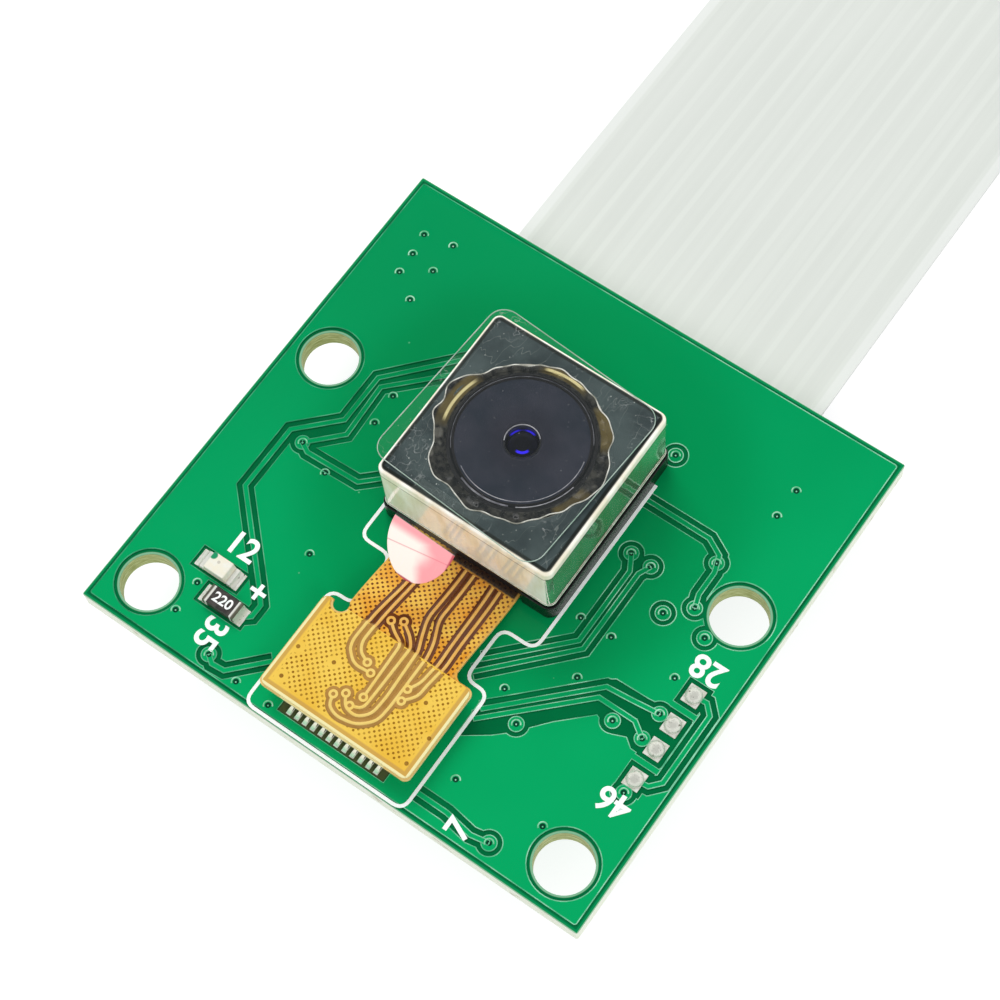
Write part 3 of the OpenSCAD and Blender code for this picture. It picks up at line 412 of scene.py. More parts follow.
def ribbon_outline():
    """The ribbon's closed cross-section: (across, up) points with a ridge over each strip."""
    ridge_up, valley_up, edge_up = 0.1, 0.093, 0.075
    top = [(-RIBBON_WIDTH / 2, edge_up), (-RIBBON_WIDTH / 2 + 0.05, valley_up)]
    for way in range(WAYS):
        middle = (way - (WAYS - 1) / 2) * PITCH
        top += [(middle - 0.4, valley_up), (middle - 0.28, ridge_up - 0.001),
                (middle, ridge_up), (middle + 0.28, ridge_up - 0.001),
                (middle + 0.4, valley_up)]
    top += [(RIBBON_WIDTH / 2 - 0.05, valley_up), (RIBBON_WIDTH / 2, edge_up)]
    return top + [(x, -z) for x, z in reversed(top)]


def swept_ribbon():
    """The ribbon's closed skin, and the line along its middle."""
    line = eased_line(ROUTE, 3)
    outline = ribbon_outline()
    rows = []
    for i, centre in enumerate(line):
        along = (line[min(i + 1, len(line) - 1)] - line[max(i - 1, 0)]).normalized()
        up = Vector((0, -along.z, along.y))
        rows.append([centre + Vector((x, 0, 0)) + up * z for x, z in outline])
    return outward(capped(skin(rows), len(outline))), line


ribbon_mesh, ribbon_line = swept_ribbon()
ribbon = settle(draft_of(ribbon_mesh, 50), "white_ribbon", ribbon_white, "ribbon")
print("ribbon faces:", len(ribbon.data.polygons))

# %% [markdown]
# At each end the ribbon has a blue backing on one face and bare, tinned strips on the other.

# %% The ribbon's ends
backing_blue = mottled("backing_blue", (20, 74, 170), (38, 96, 196), 0.35, 0.8)
tinned = mottled("tinned_strip", (176, 176, 170), (208, 207, 200), 0.3, 3.0, Metallic=1.0)
backings = eased_copy("ribbon_backings", "ribbon_backing_strips", backing_blue, 0.02)
bare_ends = eased_copy("ribbon_contacts", "ribbon_bare_strips", tinned, 0.008)
[tuple(p * MM) for p in ribbon_line]

# %% [markdown]
# ## Stage
# A white floor, a white sky that is dark overhead, and two soft lamps. Gloss sees the sky
# and not the lamps, so level faces keep their colour and eased edges catch the pale horizon.
# The lamps and the sky together light a level surface at about the strength of 1, so colours
# keep their value. Camera, mirror and glass rays see the floor a little brighter, which makes
# it plain white where nothing shades it.

# %% Floor and sky
def seen_rays(graph):
    """1 for rays from the camera, from gloss and through glass, and 0 for light on surfaces."""
    path = graph.node("ShaderNodeLightPath")
    rays = [Wire(graph, path.socket.node.outputs[name])
            for name in ("Is Camera Ray", "Is Glossy Ray", "Is Transmission Ray")]
    return rays[0].greater(rays[1]).greater(rays[2])


def floor_finish():
    """A matt white that glows a little, so that it stays plain white."""
    material = bpy.data.materials.new("studio_floor")
    graph = new_graph(material)
    matt = graph.node("ShaderNodeBsdfDiffuse", None, {"Color": (0.34, 0.34, 0.34, 1)})
    glow = graph.node("ShaderNodeEmission", None,
                      {"Color": (1, 1, 1, 1), "Strength": seen_rays(graph) * 0.54 + 0.3})
    both = graph.node("ShaderNodeAddShader", None, {0: matt, 1: glow})
    graph.node("ShaderNodeOutputMaterial", None, {"Surface": both})
    return material


FLOOR_HALF, FLOOR_DROP = 1.5, -0.00001
bm = bmesh.new()
bmesh.ops.create_grid(bm, x_segments=1, y_segments=1, size=FLOOR_HALF)
floor_mesh = bpy.data.meshes.new("floor")
bm.to_mesh(floor_mesh)
bm.free()
floor = bpy.data.objects.new("floor", floor_mesh)
floor.location.z = FLOOR_DROP
floor_mesh.materials.append(floor_finish())
bpy.context.scene.collection.objects.link(floor)

world = bpy.data.worlds.new("studio")
bpy.context.scene.world = world
sky = new_graph(world)
height = sky.axes(sky.node("ShaderNodeTexCoord", output="Generated"))[2]
tone = sky.blend(height.fade(0.5, 0.85), (1, 1, 1, 1), (0.05, 0.055, 0.06, 1))
seen = sky.node("ShaderNodeBackground", None, {"Color": tone, "Strength": 1.0})
light = sky.node("ShaderNodeBackground", None, {"Color": (1, 1, 1, 1), "Strength": 0.6})
mixed = sky.node("ShaderNodeMixShader", None, {0: seen_rays(sky), 1: light, 2: seen})
sky.node("ShaderNodeOutputWorld", None, {"Surface": mixed})
print("floor half width", FLOOR_HALF, "m")

# %% Lamps
def lamp(name, place, size, watts):
    """A square soft lamp that faces the board. Places are in metres."""
    data = bpy.data.lights.new(name, "AREA")
    data.size, data.energy = size, watts
    made = bpy.data.objects.new(name, data)
    made.location = place
    made.rotation_mode = "QUATERNION"
    made.rotation_quaternion = (-Vector(place)).to_track_quat("-Z", "Y")
    made.visible_glossy = False
    bpy.context.scene.collection.objects.link(made)
    return made


lamp("key_lamp", (-0.28, 0.22, 0.42), 0.26, 1.1)
lamp("side_lamp", (0.36, -0.16, 0.3), 0.2, 0.42)

# %% [markdown]
# ## Circuit board
# The bare board is pale glass fibre. Green lacquer covers its faces: dark where there is no copper
# under it, bright where there is. Over the copper the green carries painted light and shade. The
# copper stands up by a hair, and pale beads along its edges are painted highlights, as thin lines.

# %% Board finishes
SCREWS = next(row for row in frame["record"]["mounts"] if row["name"] == "screw_holes")
HOLE_R = SCREWS["dims"]["hole_r_mm"]
HOLES = [(SCREWS["pos_m"][0] / MM + SCREWS["dims"]["spacing_x_mm"] / 2 * right,
          SCREWS["pos_m"][1] / MM + SCREWS["dims"]["spacing_y_mm"] / 2 * front)
         for right in (-1, 1) for front in (-1, 1)]


def from_holes(x, y):
    """Distance to the nearest screw hole's middle."""
    nearest = None
    for hx, hy in HOLES:
        reach = off_axis(x, y, hx, hy)
        nearest = reach if nearest is None else nearest.lesser(reach)
    return nearest


@finish_named("lacquered_fibre_board", Specular_IOR_Level=0.12, Emission_Strength=0.16)
def board_finish(graph):
    x, y, z = graph.axes()
    reach = from_holes(x, y)
    in_hole = reach.fade(HOLE_R + 0.05, HOLE_R + 0.02)
    hole_rim = reach.fade(HOLE_R + 0.11, HOLE_R + 0.07)
    on_face = z.fade(BOARD_HI.z - 0.05, BOARD_HI.z - 0.02).greater(
        z.fade(BOARD_LO.z + 0.05, BOARD_LO.z + 0.02))
    plies = graph.noise(2.2, 5.0, (1.0, 1.0, 9.0))
    cut = graph.noise(1.3, 4.0)
    fibre = graph.layers((232, 240, 216),
                         (plies.fade(0.35, 0.7), (252, 255, 246)),
                         (cut.fade(0.62, 0.74) * 0.4, (150, 132, 96)),
                         (in_hole, graph.blend(plies.fade(0.35, 0.7), (150, 158, 92),
                                               (196, 204, 150))))
    from_edge = (abs(x) - BOARD_HI.x).greater(abs(y) - BOARD_HI.y)
    by_socket = abs(x).fade(2.75, 2.6) * abs(y + 10.9).fade(0.75, 0.45)
    green = graph.layers((0, 106, 60),
                         (graph.noise(0.35, 2.0).fade(), (0, 120, 68)),
                         (hole_rim * 0.8, (150, 206, 168)),
                         (from_edge.fade(-0.15, -0.11), (8, 146, 86)),
                         # a pale line along the board's edge: painted highlight
                         (from_edge.fade(-0.05, -0.02) * 0.7, (190, 232, 200)),
                         (by_socket * 0.8, (96, 92, 62)))
    fine = graph.noise(14.0)
    return {"Base Color": graph.blend(on_face, fibre, green),
            # The bare fibre of the edges and hole walls glows a little: painted light on faces that
            # the lamps light less.
            "Emission Color": graph.blend(on_face, fibre, (0, 0, 0, 1)),
            "Roughness": 0.5 - on_face * 0.36 + (fine - 0.5) * 0.08,
            "Normal": graph.bump(fine, 0.004)}


@finish_named("green_lacquer_on_copper", Specular_IOR_Level=0.1)
def lacquer(graph):
    x, y, z = graph.axes()
    cloud = graph.noise(0.9, 4.0)
    fine = graph.noise(11.0)
    specks = graph.cells(0.55).fade(0.03, 0.015)
    painted_shade_by_module = off_axis(x, y, LENS_X, LENS_Y).fade(11, 8)
    # The green is painted lighter towards the corner nearest the camera, as painted light, and
    # darker near the module, as painted shade.
    green = graph.layers((0, 154, 91),
                         ((x * 0.59 - y * 0.8).fade(-16, 14), (6, 182, 108)),
                         (painted_shade_by_module * 0.6, (0, 143, 78)),
                         (graph.noise(0.12, 2.0).fade() * 0.3, (0, 150, 84)),
                         (specks * 0.6, (120, 200, 156)))
    return {"Base Color": green,
            "Roughness": 0.16 + (cloud - 0.5) * 0.08,
            "Normal": graph.bump(fine * 0.5 + cloud, 0.003)}


# Pale beads along the copper's edges are painted highlights, paler towards the right.
@finish_named("lacquer_edge_painted_highlight")
def lacquer_edge_highlight(graph):
    x, y, z = graph.axes()
    cloud = graph.noise(0.8)
    side = x.fade(-12, 4)
    dim = graph.blend(cloud.fade(0.35, 0.65), (30, 150, 100), (76, 196, 144))
    clear = graph.blend(cloud.fade(0.35, 0.65), (84, 206, 152), (176, 252, 214))
    return {"Base Color": graph.blend(side, dim, clear),
            "Metallic": 0.15 + side * 0.2,
            "Roughness": 0.2 + cloud * 0.1}


print("board finishes:", board_finish.name, lacquer.name)

# %% Board and copper
eased_copy("circuit_board", "board_core", board_finish, 0.03)
for side in ("front", "back"):
    eased_copy("ground_pour_" + side, "copper_pour_" + side, lacquer, 0)
    eased_copy("traces_" + side, "copper_traces_" + side, lacquer, 0)
print("board is", round(BOARD_HI.x - BOARD_LO.x, 2), "by", round(BOARD_HI.y - BOARD_LO.y, 2))

# %% [markdown]
# ## Vias
# Each via is a drilled and plated hole under the lacquer. Its rim shows as a pale arc on the far
# side, a painted highlight, about a dark dimple that is partly painted shade, with a small painted
# glint. They repeat, so one arc is set out on all the places by Geometry Nodes. The places are the
# middles of the rings in the frame.

# %% A tree that sets out rims on points
def islands(node):
    """The middles of a node's separate solids, from left to right, in millimetres."""
    bm = merged(node)
    left, found = set(bm.verts), []
    while left:
        stack, group = [left.pop()], []
        while stack:
            vert = stack.pop()
            group.append(vert.co.copy())
            for edge in vert.link_edges:
                other = edge.other_vert(vert)
                if other in left:
                    left.remove(other)
                    stack.append(other)
        low = Vector(map(min, zip(*group)))
        high = Vector(map(max, zip(*group)))
        found.append((low + high) / 2)
    bm.free()
    return sorted(found, key=tuple)


class Tree:
    """A Geometry Nodes tree with named inputs, filled in the same way as a shader graph."""

    def __init__(self, name, **sizes):
        self.group = bpy.data.node_groups.new(name, "GeometryNodeTree")
        add = self.group.interface.new_socket
        add("Geometry", in_out="INPUT", socket_type="NodeSocketGeometry")
        add("Geometry", in_out="OUTPUT", socket_type="NodeSocketGeometry")
        for size, value in sizes.items():
            kind = "NodeSocketInt" if isinstance(value, int) else "NodeSocketFloat"
            add(size, in_out="INPUT", socket_type=kind).default_value = value
        add("Finish", in_out="INPUT", socket_type="NodeSocketMaterial")
        self.given = self.group.nodes.new("NodeGroupInput")
        self.result = self.group.nodes.new("NodeGroupOutput")

    def size(self, name):
        return self.given.outputs[name]

    def node(self, kind, inputs=None, output=0, **settings):
        made = self.group.nodes.new(kind)
        for key, value in settings.items():
            setattr(made, key, value)
        for key, value in (inputs or {}).items():
            if isinstance(value, bpy.types.NodeSocket):
                self.group.links.new(value, made.inputs[key])
            else:
                made.inputs[key].default_value = value
        return made.outputs[output]

    def close(self, geometry):
        """Ends the tree in Realize Instances and Set Material."""
        real = self.node("GeometryNodeRealizeInstances", {0: geometry})
        shown = self.node("GeometryNodeSetMaterial",
                          {"Geometry": real, "Material": self.size("Finish")})
        self.group.links.new(shown, self.result.inputs[0])
        return self.group


def grown(group, points, edges, name, finish, sizes=None, **place):
    """Runs a tree on points and edges in millimetres and settles what it makes."""
    mesh = bpy.data.meshes.new("seeds")
    mesh.from_pydata([tuple(p) for p in points], edges, [])
    draft = bpy.data.objects.new("seeds", mesh)
    bpy.context.scene.collection.objects.link(draft)
    modifier = draft.modifiers.new("grown", "NODES")
    modifier.node_group = group
    values = {"Finish": finish, **(sizes or {})}
    for item in group.interface.items_tree:
        if item.in_out == "INPUT" and item.name in values:
            modifier[item.identifier] = values[item.name]
    return settle(draft, name, finish, **place)


def arc_tree():
    """A round arc of Rim Radius about each point, from the angle Start on by Sweep."""
    tree = Tree("arcs_on_points", Rim_Radius=0.2, Tube_Radius=0.05, Steps=16, Start=0.0,
                Sweep=3.0)
    ring = tree.node("GeometryNodeCurveArc", {
        "Resolution": tree.size("Steps"), "Radius": tree.size("Rim_Radius"),
        "Start Angle": tree.size("Start"), "Sweep Angle": tree.size("Sweep")})
    tube = tree.node("GeometryNodeCurvePrimitiveCircle",
                     {"Resolution": 8, "Radius": tree.size("Tube_Radius")})
    rim = tree.node("GeometryNodeCurveToMesh",
                    {"Curve": ring, "Profile Curve": tube, "Fill Caps": True})
    smooth = tree.node("GeometryNodeSetShadeSmooth", {0: rim})
    placed = tree.node("GeometryNodeInstanceOnPoints",
                       {"Points": tree.size("Geometry"), "Instance": smooth})
    return tree.close(placed)


def disc_tree():
    """A flat round disc of Radius on each point, thick by Depth."""
    tree = Tree("discs_on_points", Radius=0.15, Depth=0.02, Steps=14)
    disc = tree.node("GeometryNodeMeshCylinder", {
        "Vertices": tree.size("Steps"), "Radius": tree.size("Radius"),
        "Depth": tree.size("Depth")})
    placed = tree.node("GeometryNodeInstanceOnPoints",
                       {"Points": tree.size("Geometry"), "Instance": disc})
    return tree.close(placed)


ARCS, DISCS = arc_tree(), disc_tree()
via_places = islands("via_rings")
print("vias:", len(via_places))

# %% Beads along the copper, as painted highlights
def bead_tree():
    """A round bead of Bead Radius along each line of edges."""
    tree = Tree("beads_along_edges", Bead_Radius=0.03)
    line = tree.node("GeometryNodeMeshToCurve", {0: tree.size("Geometry")})
    tube = tree.node("GeometryNodeCurvePrimitiveCircle",
                     {"Resolution": 8, "Radius": tree.size("Bead_Radius")})
    bead = tree.node("GeometryNodeCurveToMesh",
                     {"Curve": line, "Profile Curve": tube, "Fill Caps": True})
    return tree.close(tree.node("GeometryNodeSetShadeSmooth", {0: bead}))


def outline_of(node, level):
    """Points and edges round a solid's level faces at a height, in millimetres."""
    bm = merged(node)
    bm.normal_update()
    rim = [edge for edge in bm.edges
           if all(abs(vert.co.z - level) < 0.001 for vert in edge.verts)
           and any(abs(face.normal.z) < 0.5 for face in edge.link_faces)]
    index, points = {}, []
    for edge in rim:
        for vert in edge.verts:
            if vert not in index:
                index[vert] = len(points)
                points.append(vert.co.copy())
    edges = [tuple(index[vert] for vert in edge.verts) for edge in rim]
    bm.free()
    return points, edges


BEADS = bead_tree()
for side, level, sink in (("front", LACQUER_Z, -0.014), ("back", BACK_Z, 0.014)):
    for part in ("ground_pour_", "traces_"):
        points, edges = outline_of(part + side, level)
        grown(BEADS, [p + Vector((0, 0, sink)) for p in points], edges, part + side + "_highlight_beads",
              lacquer_edge_highlight, {"Bead_Radius": 0.026}, slot="lacquer")
        print("beads on", part + side, len(edges))

# %% Vias set out
via_shine = mottled("via_rim_painted_highlight", (96, 206, 150), (196, 250, 222), 0.3, 3.0, Metallic=0.1)
via_dark = mottled("via_dimple", (0, 62, 40), (0, 80, 52), 0.2, 3.0)
flat = [Vector((p.x, p.y, LACQUER_Z)) for p in via_places]
FAR_SIDE = math.radians(126)
# pale arcs on the far side of each via: painted highlights
grown(ARCS, [p + Vector((0, 0, -0.012)) for p in flat], [], "via_rims", via_shine,
      {"Rim_Radius": 0.185, "Tube_Radius": 0.034, "Start": FAR_SIDE - 1.9, "Sweep": 3.8},
      stands_for="via_rings")
# dark discs in the vias: lacquer over the empty hole, darkened further by painted shade
grown(DISCS, [p + Vector((0, 0, -0.006)) for p in flat], [], "via_dimples", via_dark,
      {"Radius": 0.125}, slot="lacquer")
# small pale discs: painted glints
grown(DISCS, [p + Vector((0.01, -0.015, -0.002)) for p in flat], [], "via_glints", via_shine,
      {"Radius": 0.035, "Steps": 8}, slot="lacquer")
print("rims and dimples made")

# %% [markdown]
# ## White print
# The printed outline and marks are ink, a hair thick. The marks are plain numbers. Each is
# a text object that is made a mesh, sunk a little into the lacquer, so that it has no gap.

# %% White print
# The ink glows a little: painted light, so that it stays white where shade falls on it.
@finish_named("white_ink", Specular_IOR_Level=0.2, Emission_Strength=0.14)
def white_ink(graph):
    edge = graph.noise(9.0, 4.0)
    cover = graph.noise(2.0, 2.0)
    ink = graph.blend(edge.fade(0.3, 0.6), (236, 252, 244), (255, 255, 255))
    return {"Base Color": ink,
            "Emission Color": ink,
            "Roughness": 0.55 + (cover - 0.5) * 0.2,
            "Normal": graph.bump(edge, 0.006)}


eased_copy("printed_outline", "printed_line", white_ink, 0.006)


def text_draft(words, place, turn, size, thick, stretch=1.0):
    """Words as a mesh draft in millimetres, about their own middle."""
    curve = bpy.data.curves.new("words", "FONT")
    curve.body, curve.size, curve.extrude = words, size, thick / 2
    curve.align_x, curve.align_y = "CENTER", "CENTER"
    curve.offset = 0.02 * size
    holder = bpy.data.objects.new("words", curve)
    bpy.context.scene.collection.objects.link(holder)
    bpy.context.view_layer.update()
    mesh = bpy.data.meshes.new_from_object(
        holder.evaluated_get(bpy.context.evaluated_depsgraph_get()))
    bpy.data.objects.remove(holder)
    mesh.transform(Matrix.Translation(place) @ Matrix.Rotation(math.radians(turn), 4, "Z")
                   @ Matrix.Diagonal((stretch, 1, 1, 1)))
    draft = bpy.data.objects.new("words", mesh)
    bpy.context.scene.collection.objects.link(draft)
    return draft


MARKS = [("12", -8.2, -6.6, 0), ("+", -6.44, -7.88, 0), ("35", -7.0, -10.35, -90),
         ("28", 10.73, -0.15, 180), ("46", 10.71, -6.85, 180), ("7", 6.31, -11.25, 90)]
for words, x, y, turn in MARKS:
    label = "printed_mark_" + {"+": "plus"}.get(words, words)
    settle(text_draft(words, Vector((x, y, LACQUER_Z + 0.006)), turn, 1.45, 0.02), label,
           white_ink, slot="white_print")
print("marks:", len(MARKS))

# %% [markdown]
# ## Solder, LED and resistor
# Solder is bright and a little lumpy, with dark flux round it. The LED is milky resin on a
# white base. The resistor is black glaze between tinned ends, with a plain number on it.

# %% Small parts on the front
@finish_named("bright_solder", Metallic=0.3)
def solder(graph):
    lumps = graph.noise(4.5)
    stain = graph.noise(7.0, 4.0)
    return {"Base Color": graph.blend(stain.fade(0.6, 0.72), (236, 237, 226),
                                      (110, 106, 92)),
            "Roughness": 0.22 + lumps * 0.15,
            "Normal": graph.bump(lumps, 0.04)}


@finish_named("milky_resin", Coat_Weight=0.3, Coat_Roughness=0.1)
def milky(graph):
    x, y, z = graph.axes()
    lo, hi = box_mm("led_resin")
    mark = off_axis(x, y, lo.x + 0.16, hi.y - 0.16).fade(0.2, 0.14)
    die = off_axis(x, y, lo.x + 0.52, lo.y + 0.5).fade(0.09, 0.05)
    cloud = graph.noise(3.0)
    cream = graph.layers((255, 255, 244),
                         (cloud.fade(), (255, 250, 228)),
                         (die * 0.35, (120, 104, 84)),
                         (mark, (20, 158, 104)))
    return {"Base Color": cream,
            "Roughness": 0.32 + cloud * 0.1,
            "Normal": graph.bump(cloud, 0.01)}


@finish_named("chip_end_tin")
def chip_end_tin(graph):
    x, y, z = graph.axes()
    lo, hi = box_mm("chip_resistor")
    middle = (lo.x + hi.x) / 2
    tip = box_mm("chip_ends")[1].x - middle
    by_led = y.fade(hi.y + 0.05, hi.y + 0.1)
    stain = graph.noise(5.0, 4.0)
    bare = graph.blend(stain, (66, 62, 52), (118, 118, 100))
    white = graph.blend(stain, (250, 250, 244), (222, 224, 214))
    far = abs(x - middle).fade(tip - 0.16, tip - 0.08) * (1 - by_led)
    return {"Base Color": graph.blend(far, white, bare),
            "Roughness": 0.3 + stain * 0.1}


white_base = mottled("led_base_white", (240, 234, 214), (252, 248, 232), 0.5)
cap_tin = mottled("tinned_cap", (222, 224, 208), (255, 255, 248), 0.34, 5.0, Metallic=0.12)
black_glaze = mottled("black_glaze", (58, 56, 54), (84, 80, 76), 0.35, 4.0)
eased_copy("solder_pads", "solder_pads_dressed", cap_tin, 0.012)
eased_copy("solder_bumps", "solder_bumps_dressed", solder, 0)
eased_copy("solder_fillets", "solder_fillets_dressed", solder, 0.01)
eased_copy("led_base", "led_base_dressed", white_base, 0.02)
eased_copy("led_resin", "led_resin_dressed", milky, 0.05, steps=3)
eased_copy("chip_resistor", "resistor_body", black_glaze, 0.03)
eased_copy("chip_ends", "chip_end_caps", chip_end_tin, 0.04, steps=3)
RES_LO, RES_HI = box_mm("chip_resistor")
settle(text_draft("220", Vector(((RES_LO.x + RES_HI.x) / 2, (RES_LO.y + RES_HI.y) / 2,
                                 RES_HI.z)), 0, 0.62, 0.012),
       "resistor_number", white_ink, slot="white_print")
print("small parts dressed")

# %% [markdown]
# ## Flex
# The flex is copper between amber films. A grid of small round openings in the copper shows
# as dark dots set out at 45 degrees. On the head a stiff amber sheet lies over it, which
# makes it paler and matt. Between the dots run traces, each in a plain channel.

# %% Flex finishes
DOT_PITCH = 0.2045
LOOSE_VIAS = [(-1.63, -8.72), (-3.24, -8.99), (-3.04, -10.37), (2.44, -8.0), (3.29, -10.46),
              (3.42, -9.12)]
HEAD_LO, HEAD_HI = box_mm("flex_stiffener")


def dots(x, y, size):
    """1 on the dots of a square grid that is turned by 45 degrees."""
    one, other = (x + y) * math.sqrt(0.5), (x - y) * math.sqrt(0.5)
    return (one.wave(DOT_PITCH) + other.wave(DOT_PITCH)).fade(size, size + 0.7)


@finish_named("amber_stiffener", Specular_IOR_Level=0.3)
def amber_head(graph):
    x, y, z = graph.axes()
    from_side = (abs(x) - HEAD_HI.x).greater(HEAD_LO.y - y)
    rim = from_side.fade(-0.13, -0.1)
    band = from_side.fade(-0.32, -0.24) * (1 - rim)
    kept = from_side.fade(-0.36, -0.44)
    for vx, vy in LOOSE_VIAS:
        kept = kept.lesser(off_axis(x, y, vx, vy).fade(0.26, 0.34))
    faint = graph.noise(3.0, 2.0).fade(0.25, 0.6)
    fine = graph.noise(16.0)
    amber = graph.layers((248, 198, 66),
                         (graph.noise(0.7).fade(), (255, 214, 90)),
                         (dots(x, y, 0.55) * kept * (faint * 0.5 + 0.5), (158, 108, 8)),
                         (band * 0.75, (208, 162, 84)),
                         (rim, (255, 246, 186)))
    return {"Base Color": amber,
            "Roughness": 0.42 + (fine - 0.5) * 0.2,
            "Normal": graph.bump(fine, 0.003)}


# The flex is painted dark just below the can's foot: a painted shadow of the can.
CAN_SHADOW_Y = LENS_Y - CAN_HALF - 0.34


@finish_named("amber_flex", Coat_Weight=0.2, Coat_Roughness=0.1)
def amber_neck(graph):
    x, y, z = graph.axes()
    cloud = graph.noise(0.9)
    wave = graph.noise(0.5, 2.0, (1.0, 2.4, 1.0))
    can_shadow = y.fade(CAN_SHADOW_Y - 0.07, CAN_SHADOW_Y + 0.07) * (x + y * 0.4).fade(-2.1, -1.3)
    amber = graph.layers((240, 160, 36),
                         (cloud.fade(), (255, 206, 84)),
                         (dots(x, y, 0.5), (120, 60, 10)),
                         (y.fade(HEAD_HI.y + 0.04, HEAD_HI.y - 0.04), (255, 240, 178)),
                         (can_shadow * 0.97, (34, 26, 28)),
                         (abs(x).fade(2.56, 2.64) * 0.6, (240, 190, 90)))
    return {"Base Color": amber,
            "Roughness": 0.2 + cloud * 0.1,
            "Normal": graph.bump(wave, 0.03)}


@finish_named("flex_channel")
def channel_brown(graph):
    x, y, z = graph.axes()
    on_head = y.fade(HEAD_HI.y + 0.12, HEAD_HI.y - 0.05)
    cloud = graph.noise(2.5)
    head = graph.blend(cloud, (172, 122, 38), (206, 156, 82))
    neck = graph.blend(cloud, (84, 40, 10), (130, 66, 20))
    return {"Base Color": graph.blend(on_head, neck, head),
            "Roughness": 0.28 + on_head * 0.2}


@finish_named("flex_trace", Coat_Weight=0.3, Coat_Roughness=0.15)
def trace_gold(graph):
    x, y, z = graph.axes()
    on_head = y.fade(HEAD_HI.y + 0.12, HEAD_HI.y - 0.05)
    cloud = graph.noise(1.6)
    head = graph.blend(cloud, (255, 214, 100), (255, 228, 136))
    neck = graph.blend(cloud, (240, 164, 48), (255, 214, 120))
    return {"Base Color": graph.blend(on_head, neck, head),
            "Roughness": 0.25 + on_head * 0.15,
            "Normal": graph.bump(cloud, 0.004)}


neck = eased_copy("flex_cable", "flex_sheet", amber_neck, 0.02)
head = eased_copy("flex_stiffener", "flex_head_sheet", amber_head, 0.035, steps=3)
print("flex dressed")

# %% A tree that lays strips along paths
def strip_tree():
    """A strip of Width and Height along each line of edges, with its flat side up."""
    tree = Tree("strips_along_paths", Width=0.15, Height=0.02)
    line = tree.node("GeometryNodeMeshToCurve", {0: tree.size("Geometry")})
    level = tree.node("GeometryNodeSetCurveNormal", {"Curve": line}, mode="Z_UP")
    section = tree.node("GeometryNodeCurvePrimitiveQuadrilateral",
                        {"Width": tree.size("Width"), "Height": tree.size("Height")})
    strip = tree.node("GeometryNodeCurveToMesh",
                      {"Curve": level, "Profile Curve": section, "Fill Caps": True})
    return tree.close(strip)


STRIPS = strip_tree()


def skin_of(*objects):
    """A tree for looking up heights over finished pieces, in millimetres."""
    points, faces = [], []
    for o in objects:
        base = len(points)
        points += [v.co / MM for v in o.data.vertices]
        faces += [[base + i for i in f.vertices] for f in o.data.polygons]
    return BVHTree.FromPolygons(points, faces)


def rounded(path, ease, parts=4):
    """A flat path whose corners are eased over a length."""
    points = [Vector(p) for p in path]
    out = [points[0]]
    for i in range(1, len(points) - 1):
        before, here, after = points[i - 1], points[i], points[i + 1]
        cut = min(ease, (before - here).length * 0.45, (after - here).length * 0.45)
        a = here + (before - here).normalized() * cut
        b = here + (after - here).normalized() * cut
        out += [a.lerp(here, t).lerp(here.lerp(b, t), t)
                for t in (k / parts for k in range(parts + 1))]
    return out + [points[-1]]


def drape(path, surface, above, spacing=0.12):
    """Points along a flat path, laid on a surface from above."""
    out = []
    for a, b in zip(path, path[1:]):
        parts = max(1, round((b - a).length / spacing))
        out += [a.lerp(b, k / parts) for k in range(parts)]
    out.append(path[-1])
    laid = []
    for p in out:
        hit = surface.ray_cast(Vector((p.x, p.y, 20)), Vector((0, 0, -1)))[0]
        if hit:
            laid.append(Vector((p.x, p.y, hit.z + above)))
    return laid


def chained(paths):
    """Several paths as one list of points and one list of edges."""
    points, edges = [], []
    for path in paths:
        edges += [(len(points) + k, len(points) + k + 1) for k in range(len(path) - 1)]
        points += path
    return points, edges


print("strip tree:", STRIPS.name)

# %% Traces of the flex
FLEX_LINES = [
    [(-1.45, -2.2), (-1.49, -4.47), (-1.64, -6.16), (-1.67, -7.39), (-1.56, -7.78),
     (-1.03, -8.24), (-0.23, -8.16)],
    [(-1.17, -2.2), (-1.22, -4.47), (-1.30, -6.31), (-1.32, -7.25), (-1.11, -7.66),
     (-0.61, -7.87)],
    [(-0.92, -5.86), (-0.5, -6.2), (0.05, -6.45), (0.14, -9.14)],
    [(-0.47, -5.6), (0.15, -6.0), (0.47, -6.4), (0.43, -8.98), (0.40, -9.54), (-0.11, -9.73)],
    [(0.15, -2.2), (0.2, -4.9), (0.55, -5.8), (0.8, -6.36), (0.9, -8.66), (0.83, -9.52),
     (0.37, -9.97), (-0.23, -9.89), (-0.54, -9.40)],
    [(0.55, -2.2), (0.62, -4.7), (1.1, -5.7), (1.25, -6.42), (1.26, -8.78), (1.19, -9.64),
     (0.57, -10.24), (-0.3, -10.39), (-0.81, -10.19), (-0.94, -9.71)],
    [(1.5, -2.2), (1.7, -5.0), (1.79, -6.26), (1.68, -7.37), (1.40, -7.87)],
    [(1.85, -2.2), (2.0, -5.0), (2.09, -6.24), (1.95, -7.35), (1.92, -7.88), (1.49, -8.41)],
]
flex_skin = skin_of(neck, head)
LINES_RIGHT, LINES_BACK, LINE_EASE = 0.1, 0.09, 0.35
laid = [drape(rounded([(x + LINES_RIGHT, y - LINES_BACK) for x, y in line], LINE_EASE),
              flex_skin, 0.0) for line in FLEX_LINES]
lift = Vector((0, 0, 0.006))
points, edges = chained([[p + lift * 0.25 * k for p in line] for k, line in enumerate(laid)])
grown(STRIPS, points, edges, "flex_channels", channel_brown, {"Width": 0.4, "Height": 0.012},
      slot="amber")
points, edges = chained(laid)
